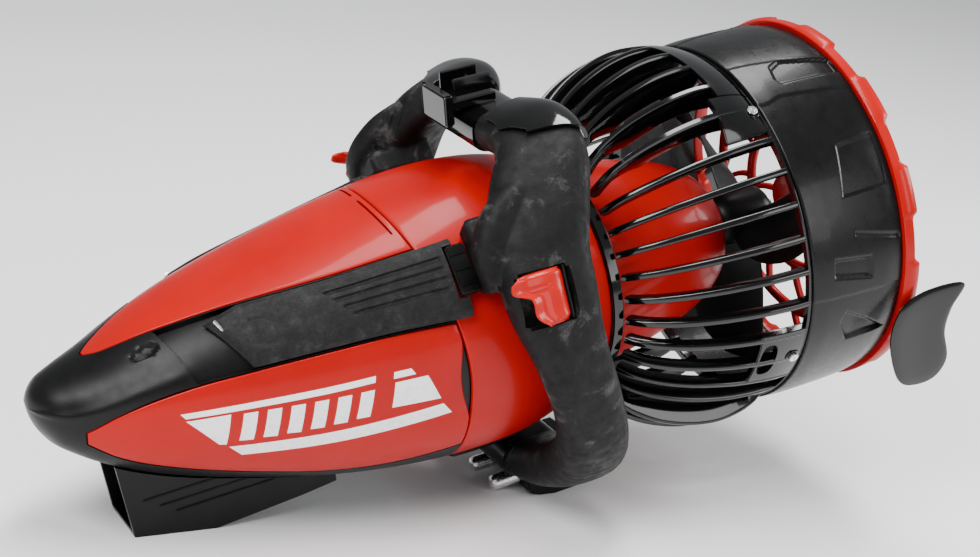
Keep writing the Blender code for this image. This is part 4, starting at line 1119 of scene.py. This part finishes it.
def make_shoulder_covers():
    """A glossy cap over the top of each grip that narrows outwards and ends in a tab."""
    outer = []
    inner = []
    for place in spaced(0.1, 1.6, 44):
        centre, along, wide, thick, roll = ring_point(place)
        narrow = round(10 * step(place, 0.75, 1.6))
        for row, grow in ((outer, 0.0040), (inner, 0.0012)):
            points = ring_section(centre, along, wide + grow, thick + grow, roll, 96)
            ring = points[92:96] + points[0:37]
            first = narrow * 0.35
            last = len(ring) - 1 - narrow
            picked = []
            for k in range(41):
                at = first + (last - first) * k / 40
                i = min(int(at), len(ring) - 2)
                picked.append(ring[i].lerp(ring[i + 1], at - i))
            row.append(picked)
    mesh = rounded(shell("cover", outer, inner), 0.0009, 3, 50)
    put_pair("shoulder_cover_look", mesh, GLOSS, "hull", ["shoulder_cover_{side}"])


def make_rail():
    """The slide for a camera or a lamp: a base with a front stop, two blades and two screws."""
    parts = [box("rail", (-0.017, -0.004, 0.1648), (0.017, 0.034, 0.172), 0.0008)]
    for x in (-0.0125, 0.0095):
        parts.append(box("blade", (x, 0.001, 0.1700), (x + 0.003, 0.032, 0.187), 0.0007))
        parts.append(box("lip", (x - 0.0006, 0.002, 0.1705), (x + 0.0036, 0.031, 0.1735), 0.0005))
    parts.append(box("stop", (-0.019, -0.011, 0.153), (0.019, -0.003, 0.178), 0.0014, 3))
    for x in (-0.006, 0.006):
        parts.append(rod("screw", (x, 0.016, 0.1715), (x, 0.016, 0.1726), 0.0024, 24, round_by=0.0003))
    put("accessory_rail_look", joined("rail", parts), GLOSS, "hull", "accessory_rail")


ROD_X = 0.0175
ROD_Z = -0.1655


def make_weights():
    """Two round ballast rods in a block that also is the rear foot."""
    low = -0.1555
    rear = 0.092
    front = 0.028
    foot = [(0.054, ground_z(0.054)), (0.036, ground_z(0.036))]
    ring = [(front, low), (rear, low), (rear, foot[0][1])] + foot + [(front, -0.1735)]
    holder = loft("holder", [[Vector((x, y, z)) for y, z in ring] for x in (-0.036, 0.036)])
    holder = rounded(holder, 0.0022, 3, 20)
    bores = []
    for x in (ROD_X, -ROD_X):
        bores.append(rod("bore", (x, 0.02, ROD_Z), (x, 0.084, ROD_Z), 0.0069, 48))
    bores.append(box("waist", (-0.0035, 0.02, -0.19), (0.0035, 0.084, -0.161), 0.001))
    put("weight_holder_look", carved(holder, *bores), SATIN, "hull", "weight_holder")
    profile = [(0.0, 0.002), (0.0025, 0.0021), (0.0047, 0.0030), (0.0060, 0.0046), (0.0065, 0.0068)]
    profile += [(0.0065, 0.0830), (0.0060, 0.0835), (0.0, 0.0835)]
    bar = turned("rod", profile, 64)
    bar.transform(Matrix.Translation((ROD_X, 0, ROD_Z)))
    put_pair("weight_rod_look", bar, STEEL, "hull", ["weight_rod_{side}"])


# ---------------------------------------------------------------- inner pieces


def make_inside():
    """The battery, its cradle and plug, the bulkhead with its seal, and the controller."""
    ring = [360.0 * k / 96 for k in range(96)]
    plate = loft("plate", [[hull_point(y, a, 0.0062) for a in ring] for y in (-0.034, -0.030)])
    way = rod("way", (0, -0.06, 0), (0, 0, 0), 0.012, 48)
    put("bulkhead_look", carved(plate, way), SATIN, "hull", "bulkhead")
    spigot = hull_patch(spaced(-0.100, -0.0345, 4), ring, 0.0125, 0.0160, wrap=True)
    put("bulkhead_spigot_look", spigot, SATIN, "hull", "bulkhead_spigot")
    seal = hull_patch((-0.1035, -0.1005), ring, 0.0106, 0.0150, wrap=True)
    put("bulkhead_seal_look", seal, DEEP, "hull", "bulkhead_seal")
    pack = box("pack", (-0.044, -0.245, -0.034), (0.044, -0.112, 0.036), 0.006, 4)
    put("battery_pack_look", pack, CASE, "hull", "battery_pack")
    label = box("label", (-0.030, -0.226, 0.0361), (0.030, -0.135, 0.0364), 0.0001)
    put("battery_label", label, WHITE, "hull")
    cradle = box("cradle", (-0.040, -0.240, -0.0395), (0.040, -0.0605, -0.0345), 0.001)
    put("battery_cradle_look", cradle, SATIN, "hull", "battery_cradle")
    profile = [(0.0, -0.1115), (0.010, -0.1115), (0.010, -0.095), (0.006, -0.090), (0.0, -0.090)]
    plug = turned("plug", profile, 64)
    plug.transform(Matrix.Translation((0, 0, 0.004)))
    put("battery_plug_look", plug, BRASS, "hull", "battery_plug")
    board = box("board", (-0.040, -0.026, -0.030), (0.040, -0.024, 0.030), 0.0003)
    put("controller_board_look", board, BOARD, "hull", "controller_board")
    chips = []
    places = ((-0.024, 0.012, 0.010), (0.004, 0.014, 0.007), (0.024, -0.010, 0.009), (-0.008, -0.014, 0.012))
    for x, z, wide in places:
        half = wide / 2
        chips.append(box("chip", (x - half, -0.0240, z - 0.005), (x + half, -0.0218, z + 0.005), 0.0003))
    put("controller_chips", joined("chips", chips), DEEP, "hull")


# ---------------------------------------------------------------- drive

POD = (
    (0.0860, 0.0862), (0.0830, 0.110), (0.0780, 0.140), (0.0710, 0.170), (0.0600, 0.200), (0.0460, 0.220),
    (0.0300, 0.2315),
)
POD_BY_Y = tuple((y, r) for r, y in POD)
POD_REAR_Y = 0.235
POD_BORE = 0.013
MOTOR_REAR_Y = 0.185
MOTOR_R = 0.037
SHAFT_R = 0.0042
PROP_Y = 0.265
HUB_FRONT_Y = 0.2385
HUB_REAR_Y = 0.2885


def make_motor_pod():
    """The red bell that holds the motor, with the shaft's bore in its rear end."""
    outside = [(smooth_through(POD_BY_Y, y, 1), y) for y in spaced(0.0862, 0.2315, 60)]
    inside = [(r - WALL, y - 0.0015) for r, y in reversed(outside[:-6])]
    end = [(0.0250, 0.2335), (0.0180, 0.2347), (POD_BORE, POD_REAR_Y), (POD_BORE, POD_REAR_Y - 0.0032)]
    end.append((0.028, 0.2285))
    put("motor_pod_look", turned("pod", outside + end + inside, 160), RED, "hull", "motor_pod")


def ring_profile(outer, inner, front, rear, edge=0.0004):
    """The profile of a plain ring with chamfered edges."""
    return [
        (outer - edge, front), (outer, front + edge), (outer, rear - edge), (outer - edge, rear),
        (inner + edge, rear), (inner, rear - edge), (inner, front + edge), (inner + edge, front),
    ]


# The blade: radius, chord, pitch and sweep in degrees, thickness
BLADE = (
    (0.0175, 0.036, 58.0, 0.0, 0.0050),
    (0.045, 0.060, 44.0, 6.0, 0.0042),
    (0.080, 0.072, 33.0, 14.0, 0.0034),
    (0.118, 0.066, 26.0, 22.0, 0.0028),
    (0.137, 0.042, 23.0, 28.0, 0.0024),
)


def blade(degrees):
    """One propeller blade: broad, twisted and swept back."""

    def points(radius, k):
        chord, pitch, sweep, thick = (smooth_through(BLADE, radius, c) for c in (1, 2, 3, 4))
        chord *= 1 - 0.35 * step(radius, 0.128, 0.139)
        lean = math.radians(pitch)
        share = -0.5 * math.cos(math.pi * k / 24)
        across = share * chord * math.cos(lean)
        y = PROP_Y + share * chord * math.sin(lean)
        half = thick * (0.12 + 0.88 * math.sqrt(max(0.0, 1 - (2 * share) ** 2))) / 2
        turn = math.radians(degrees + sweep) + across / radius
        x = radius * math.cos(turn)
        z = radius * math.sin(turn)
        return [Vector((x, y + offset * 1.2, z)) for offset in (half, -half)]

    return between("blade", spaced(BLADE[0][0], BLADE[-1][0], 40), range(25), points)


def make_drive():
    """Motor, shaft, bearings and seal, and the propeller with its nut."""
    can = [(MOTOR_R, 0.095), (MOTOR_R, MOTOR_REAR_Y), (0.0085, MOTOR_REAR_Y)]
    can += [(0.0085, MOTOR_REAR_Y - WALL), (MOTOR_R - WALL, MOTOR_REAR_Y - WALL), (MOTOR_R - WALL, 0.095)]
    put("motor_can_look", rounded(turned("can", can), 0.0006), STEEL, "hull", "motor_can")
    cap = turned("cap", ring_profile(MOTOR_R, 0.0112, 0.0905, 0.0945))
    put("motor_end_cap_look", cap, SATIN, "hull", "motor_end_cap")
    rotor = turned("rotor", ring_profile(0.030, SHAFT_R + GAP, 0.102, 0.174))
    put("motor_rotor_look", rotor, BRASS, "propeller", "motor_rotor")
    end = HUB_REAR_Y + 0.0095
    profile = [(0.0, 0.091), (0.0038, 0.091), (SHAFT_R, 0.0914)]
    profile += [(SHAFT_R, end - 0.0004), (0.0038, end), (0.0, end)]
    put("drive_shaft_look", turned("shaft", profile, 48), STEEL, "propeller", "drive_shaft")
    for name, y in (("bearing_front", 0.0905), ("bearing_rear", MOTOR_REAR_Y + 0.0008)):
        race = turned(name, ring_profile(0.0108, SHAFT_R + 0.0005, y, y + 0.006), 64)
        put(f"{name}_look", race, STEEL, "hull", name)
    profile = ring_profile(POD_BORE - 0.0005, SHAFT_R + 0.0005, POD_REAR_Y - 0.012, POD_REAR_Y - 0.001)
    put("shaft_seal_look", turned("seal", profile, 64), DEEP, "hull", "shaft_seal")
    profile = [(0.0150, HUB_FRONT_Y), (0.0190, 0.2392), (0.0212, 0.2425), (0.0222, 0.249), (0.0225, 0.256)]
    profile += [(0.0219, 0.269), (0.0210, 0.280), (0.0196, 0.2858), (0.0170, HUB_REAR_Y)]
    profile += [(SHAFT_R + GAP, HUB_REAR_Y), (SHAFT_R + GAP, HUB_FRONT_Y)]
    parts = [turned("hub", profile)] + [blade(120.0 * k) for k in range(3)]
    put("propeller_look", joined("propeller", parts), SATIN, "propeller", "propeller")
    front = HUB_REAR_Y + 0.0005
    nut = [(0.010, front), (0.010, front + 0.005), (0.006, front + 0.0085)]
    nut += [(SHAFT_R + GAP, front + 0.0085), (SHAFT_R + GAP, front)]
    mesh = rounded(turned("nut", nut, 6), 0.0004)
    put("propeller_nut_look", mesh, STEEL, "propeller", "propeller_nut")


# ---------------------------------------------------------------- cage and shroud

COLLAR_FRONT_Y = 0.0845
RIB_START_Y = 0.088
RIB_END_Y = 0.2345
RIB_COUNT = 34
RIB_WIDTH = 0.0055
RIB_DEPTH = 0.010
# How much deeper the ribs are at the top and bottom, and where along them
RIB_EXTRA = 0.012
RIB_DEEP = ((0.080, 0.0), (0.100, 0.0), (0.118, 1.0), (0.208, 1.0), (0.225, 0.0), (0.240, 0.0))
# The cage's outside over the top and under the belly, where it swells most: y, radius
SWELL = (
    (0.088, 0.090), (0.100, 0.118), (0.120, 0.138), (0.150, 0.153), (0.180, 0.1600), (0.205, 0.1590),
    (0.222, 0.1545), (0.2300, 0.1500), (0.2375, 0.1500),
)
# The plates between the ribs at the shroud's corners, each from one angle to another
CORNERS = ((50.0, 64.0), (116.0, 130.0), (-36.0, -14.0), (194.0, 216.0))
# A rib's section, as shares of its width and depth, with a rounded crest
CROSS_SECTION = (
    (-0.28, 0.0), (0.28, 0.0), (0.44, -0.06), (0.5, -0.16), (0.40, -0.94),
    (0.28, -1.0), (-0.28, -1.0), (-0.40, -0.94), (-0.5, -0.16), (-0.44, -0.06),
)
SCREW_Y = 0.222
HOOP_R = 0.150


def poles(degrees):
    """0 at the sides of the cage, 1 over its top and under its belly."""
    return step(abs((degrees + 90.0) % 180.0 - 90.0), 44.0, 60.0)


def rib_radius(y, degrees):
    """The cage's outside: it swells from the collar, more at top and bottom, and meets the shroud level."""
    t = (SHROUD_FRONT_Y - y) / (SHROUD_FRONT_Y - RIB_START_Y)
    t = min(max(t, 0.0), 1.0)
    plain = COLLAR_R + 0.001 + (HOOP_R - COLLAR_R - 0.001) * (1 - t**1.7) ** (1 / 1.7)
    return plain + (smooth_through(SWELL, y, 1) - plain) * poles(degrees)


def polar(radius, y, degrees):
    turn = math.radians(degrees)
    return Vector((radius * math.cos(turn), y, radius * math.sin(turn)))


def rib(degrees):
    """A slim blade with a rounded crest, from the collar to the shroud."""
    turn = math.radians(degrees)
    across = Vector((-math.sin(turn), 0, math.cos(turn))) * RIB_WIDTH
    rings = []
    for k in range(34):
        y = RIB_START_Y + 0.003 + (RIB_END_Y - RIB_START_Y - 0.003) * (k / 33) ** 1.35
        radius = rib_radius(y, degrees)
        before = rib_radius(y - 0.001, degrees)
        lean = min(math.atan2(radius - before, 0.001), 0.9)
        depth = RIB_DEPTH + RIB_EXTRA * poles(degrees) * linear(RIB_DEEP, y)
        depth *= 1 if k else 0.6
        up = polar(math.cos(lean), -math.sin(lean), degrees)
        centre = polar(radius, y, degrees)
        rings.append([centre + across * a + up * depth * b for a, b in CROSS_SECTION])
    return loft("rib", rings)


def cage_patch(low, high, y_low, thick):
    """A piece of the cage's skin between two angles, up to the shroud."""

    def points(y, a):
        return polar(rib_radius(y, a), y, a), polar(rib_radius(y, a) - thick, y, a)

    angles = spaced(low, high, max(6, round(abs(high - low))))
    return rounded(between("patch", spaced(y_low, 0.232, 14), angles, points), 0.0007, 2, 50)


def corner_window(low, high):
    """A rounded opening through a corner plate, in front of its screw."""
    middle = (low + high) / 2
    half = (high - low) / 2 - 4.0
    outline = []
    for k in range(24):
        turn = 2 * math.pi * k / 24
        y = 0.1995 + 0.0072 * math.copysign(abs(math.cos(turn)) ** 0.7, math.cos(turn))
        outline.append((y, middle + half * math.copysign(abs(math.sin(turn)) ** 0.7, math.sin(turn))))
    return loft("window", [[polar(radius, y, a) for y, a in outline] for radius in (0.125, 0.175)])


def screw_place(low, high, over):
    """The middle of a corner plate at its screw, this far over the plate."""
    middle = (low + high) / 2
    return polar(rib_radius(SCREW_Y, middle) + over, SCREW_Y, middle)


def make_cage():
    """Collar, hoop, ribs, corner plates and the cowl over the top, with a screw in each corner."""
    ring = [(COLLAR_R + 0.0026, COLLAR_FRONT_Y), (COLLAR_R + 0.0034, COLLAR_FRONT_Y + 0.0008)]
    ring += [(COLLAR_R + 0.004, 0.0925), (COLLAR_R + 0.003, 0.0935)]
    ring += [(0.0865, 0.0935), (0.0865, COLLAR_FRONT_Y)]
    hoop = [(0.1495, 0.2285), (0.1505, 0.2295), (0.1505, 0.2375)]
    hoop += [(0.1435, 0.2375), (0.1435, 0.2295), (0.1445, 0.2285)]
    parts = [turned("collar", ring, 160), turned("hoop", hoop, 160)]
    for k in range(RIB_COUNT):
        parts.append(rib(360.0 * (k + 0.5) / RIB_COUNT))
    for low, high in CORNERS:
        plate = cage_patch(low, high, 0.190, 0.006)
        parts.append(carved(plate, corner_window(low, high)) if high - low > 20 else plate)
        ends = [screw_place(low, high, over) for over in (-0.006, 0.0009)]
        parts.append(rod("boss", *ends, 0.0065, 48, round_by=0.0006))
    parts.append(cage_patch(CORNERS[0][1], CORNERS[1][0], 0.200, 0.004))
    put("cage_look", joined("cage", parts), GLOSS, "hull", "cage", 40)
    for k, (low, high) in enumerate(CORNERS):
        start = screw_place(low, high, 0.0012)
        end = screw_place(low, high, 0.0033)
        head = rod("head", start, end, 0.004, 40, round_by=0.0005)
        socket = rod("socket", start.lerp(end, 0.35), end.lerp(start, -0.5), 0.0021, 6)
        name = f"corner_screw_{k + 1}"
        put(f"{name}_look", carved(head, socket), STEEL, "hull", name)


# The shroud's recesses: depth, and corners as (y, degrees) in order round a convex outline
RECESSES = (
    (0.0030, ((0.2583, 66.0), (0.2625, 71.5), (0.2753, 73.9),
              (0.3197, 69.6), (0.3190, 62.9), (0.2617, 63.7))),
    (0.0012, ((0.2669, 24.3), (0.2762, 39.8), (0.3154, 41.0), (0.3111, 24.7))),
    (0.0010, ((0.2718, 12.3), (0.2715, 14.3), (0.3174, 9.4), (0.3170, 7.6))),
    (0.0030, ((0.2504, 7.5), (0.2873, 5.3), (0.2874, -2.1), (0.2495, 1.2))),
    (0.0030, ((0.2590, -15.1), (0.2646, -11.0), (0.2877, -16.4), (0.3111, -23.4), (0.2699, -23.5))),
)


def inside_by(corners, y, degrees):
    """How far a point lies inside a convex outline on the shroud, in metres; below 0 outside it."""
    scale = SHROUD_R * math.pi / 180
    points = [(a, b * scale) for a, b in corners]
    sides = list(zip(points, points[1:] + points[:1]))
    sign = 1 if sum(a * d - b * c for (a, b), (c, d) in sides) > 0 else -1
    least = 1.0
    for (a, b), (c, d) in sides:
        length = math.hypot(c - a, d - b)
        least = min(least, sign * ((c - a) * (degrees * scale - b) - (d - b) * (y - a)) / length)
    return least


def shroud_depth(y, degrees):
    """The shroud's outside: recesses and ridges, the same on both sides."""
    a = (degrees + 90.0) % 360.0 - 90.0
    a = 180.0 - a if a > 90.0 else a
    depth = 0.0
    for deep, corners in RECESSES:
        depth = max(depth, deep * step(inside_by(corners, y, a), 0.0, 0.0010 + 0.6 * deep))
    top = 75.5 - (y - 0.2338) * 60
    side = 57.9 + 2.0 * step(y, 0.236, 0.256) - (y - 0.256) * 45
    depth += 0.0007 * (1 - step(a, side - 0.7, side) * (1 - step(a, top, top + 0.7)))
    skirt = -4.5 - (y - 0.231) * 22
    depth += 0.0006 * (1 - step(a, skirt - 0.5, skirt))
    return depth


SHROUD_OUTSIDE = ((0.231, 0.1535), (0.250, 0.155), (0.300, 0.155), (SHROUD_REAR_Y, 0.1525))
SHROUD_BORE = 0.1480
SHROUD_SOCKET = 0.1508
SHROUD_SOCKET_END_Y = 0.2378


def make_shroud():
    """The duct, with a wider bore in front that takes the cage's hoop."""

    def points(row, a):
        y, inset = row
        outside = smooth_through(SHROUD_OUTSIDE, y, 1) - inset - shroud_depth(y, a)
        bore = SHROUD_SOCKET if y < SHROUD_SOCKET_END_Y else SHROUD_BORE
        return polar(outside, y, a), polar(bore, y, a)

    rows = [(0.2310, 0.0008), (0.2314, 0.0002)] + [(y, 0.0) for y in spaced(0.2322, 0.3178, 100)]
    rows += [(0.3186, 0.0002), (SHROUD_REAR_Y, 0.0008)]
    mesh = between("shroud", rows, [360.0 * k / 720 for k in range(720)], points, wrap=True)
    put("shroud_look", mesh, SHROUD_BLACK, "hull", "shroud", 75)


# ---------------------------------------------------------------- rear guard and winglets

TEETH = 12
GRILLE_Y = 0.3235
GRILLE_RINGS = (0.0630, 0.1070)
GRILLE_RING_HALF = 0.0035
GRILLE_HALF = 0.0026
SPOKE_HALF = 0.0021


def oval(wide, deep):
    """A bar's section with rounded corners."""
    return curve_through(((-wide, -deep), (wide, -deep), (wide, deep), (-wide, deep)), 4)


def guard_edge(r, y, degrees):
    """Broad teeth on the outer ring's rear edge and on its outside."""
    if r < 0.1465:
        return r, y
    away = abs((degrees + 9.0) % (360.0 / TEETH) - 180.0 / TEETH) / (180.0 / TEETH)
    tooth = step(away, 0.42, 0.55)
    if y > 0.3285:
        y -= 0.0042 * (1 - tooth) * (y - 0.3225) / (GUARD_REAR_Y - 0.3225)
    if r > 0.152:
        r -= 0.0016 * (1 - tooth) * step(y, 0.3205, 0.325)
    return r, y


def spoke(start, low, high):
    """A curved spoke with rounded edges, swept from one ring to the next."""
    rings = []
    for k in range(15):
        share = k / 14
        radius = low + (high - low) * share
        degrees = start + 10.0 * share**1.3
        turn = math.radians(degrees)
        across = Vector((-math.sin(turn), 0, math.cos(turn)))
        places = oval(SPOKE_HALF, GRILLE_HALF)
        rings.append([polar(radius, GRILLE_Y + b, degrees) + across * a for a, b in places])
    return loft("spoke", rings)


def make_rear_guard():
    """The toothed ring behind the shroud, with its grille of two rings, a nub and curved spokes."""
    front = SHROUD_REAR_Y + GAP
    band = [(0.1550, front), (0.1558, front + 0.0008), (0.1570, 0.3262), (0.1568, 0.3285), (0.1556, 0.3330)]
    band += [(0.1548, GUARD_REAR_Y), (0.1498, GUARD_REAR_Y), (0.1490, 0.3332)]
    band += [(0.1470, front + 0.001), (0.1475, front)]
    parts = [turned("band", band, 360, guard_edge)]
    for radius in GRILLE_RINGS:
        profile = [(radius + a, GRILLE_Y + b) for a, b in oval(GRILLE_RING_HALF, GRILLE_HALF)]
        parts.append(turned("ring", profile, 160))
    nub = [(0.0, 0.3140), (0.0150, 0.3146), (0.0215, 0.3160), (0.0232, 0.3185)]
    nub += [(0.0235, 0.3240), (0.0225, 0.3262), (0.0180, 0.3274), (0.0, 0.3280)]
    parts.append(turned("nub", nub, 96))
    for k in range(6):
        parts.append(spoke(60.0 * k, 0.0210, 0.0610))
    for k in range(12):
        parts.append(spoke(30.0 * k, 0.0655, 0.1045))
        parts.append(spoke(30.0 * k, 0.1095, 0.1485))
    put("rear_guard_look", joined("rear_guard", parts), RED, "hull", "rear_guard", 40)


# A winglet's outline and middle as (y, z), and its bow as (y, x)
WINGLET = (
    (0.3035, -0.076), (0.3055, -0.054), (0.317, -0.0375), (0.340, -0.0295), (0.3705, -0.0298),
    (0.360, -0.050), (0.3545, -0.070), (0.357, -0.095), (0.346, -0.111), (0.327, -0.1135), (0.3118, -0.105),
)
WINGLET_MIDDLE = (0.332, -0.070)
WINGLET_BOW = ((0.303, 0.1580), (0.335, 0.1595), (0.372, 0.1665))


def make_winglets():
    """A curved fin on an arm at each lower corner of the shroud."""

    def points(share, place):
        half = 0.0019 * (1 - step(share, 0.85, 1.05) * 0.75)
        y, z = (m + (p - m) * share for m, p in zip(WINGLET_MIDDLE, place))
        x = smooth_through(WINGLET_BOW, y, 1)
        return Vector((x - half, y, z)), Vector((x + half, y, z))

    shares = (0.0, 0.2, 0.4, 0.6, 0.8, 0.93, 0.98, 1.0)
    fin = between("fin", shares, curve_through(WINGLET, 6), points, wrap=True)
    base = ((0.1382, 0.268, -0.070), (0.1382, 0.304, -0.070), (0.1460, 0.304, -0.052), (0.1460, 0.268, -0.052))
    tip = ((0.1580, 0.313, -0.076), (0.1598, 0.335, -0.076), (0.1598, 0.335, -0.058), (0.1580, 0.313, -0.058))
    arm = rounded(loft("arm", [[Vector(p) for p in end] for end in (base, tip)]), 0.0015, 3, 30)
    sleeve = turned("sleeve", [(0.1554, 0.2), (0.1554, 0.36), (0.05, 0.36), (0.05, 0.2)], 160)
    mesh = joined("winglet", [fin, carved(arm, sleeve)])
    put_pair("winglet_look", mesh, GLOSS, "hull", ["winglet_{side}"])


def make_all():
    make_camera()
    make_studio()
    make_nose_frame()
    make_nose_skins()
    make_decals()
    make_keel_skid()
    make_latches()
    make_catches()
    make_main_hull()
    make_grips()
    make_triggers()
    make_bridge("top_bridge", GLOSS, (0.029, 0.148), 0.0335, 0.026, 0.0165)
    make_bridge("lower_bridge", SATIN, (0.035, -0.1395), 0.0355, 0.028, 0.0155)
    make_shoulder_covers()
    make_rail()
    make_weights()
    make_inside()
    make_motor_pod()
    make_drive()
    make_cage()
    make_shroud()
    make_rear_guard()
    make_winglets()


make_all()
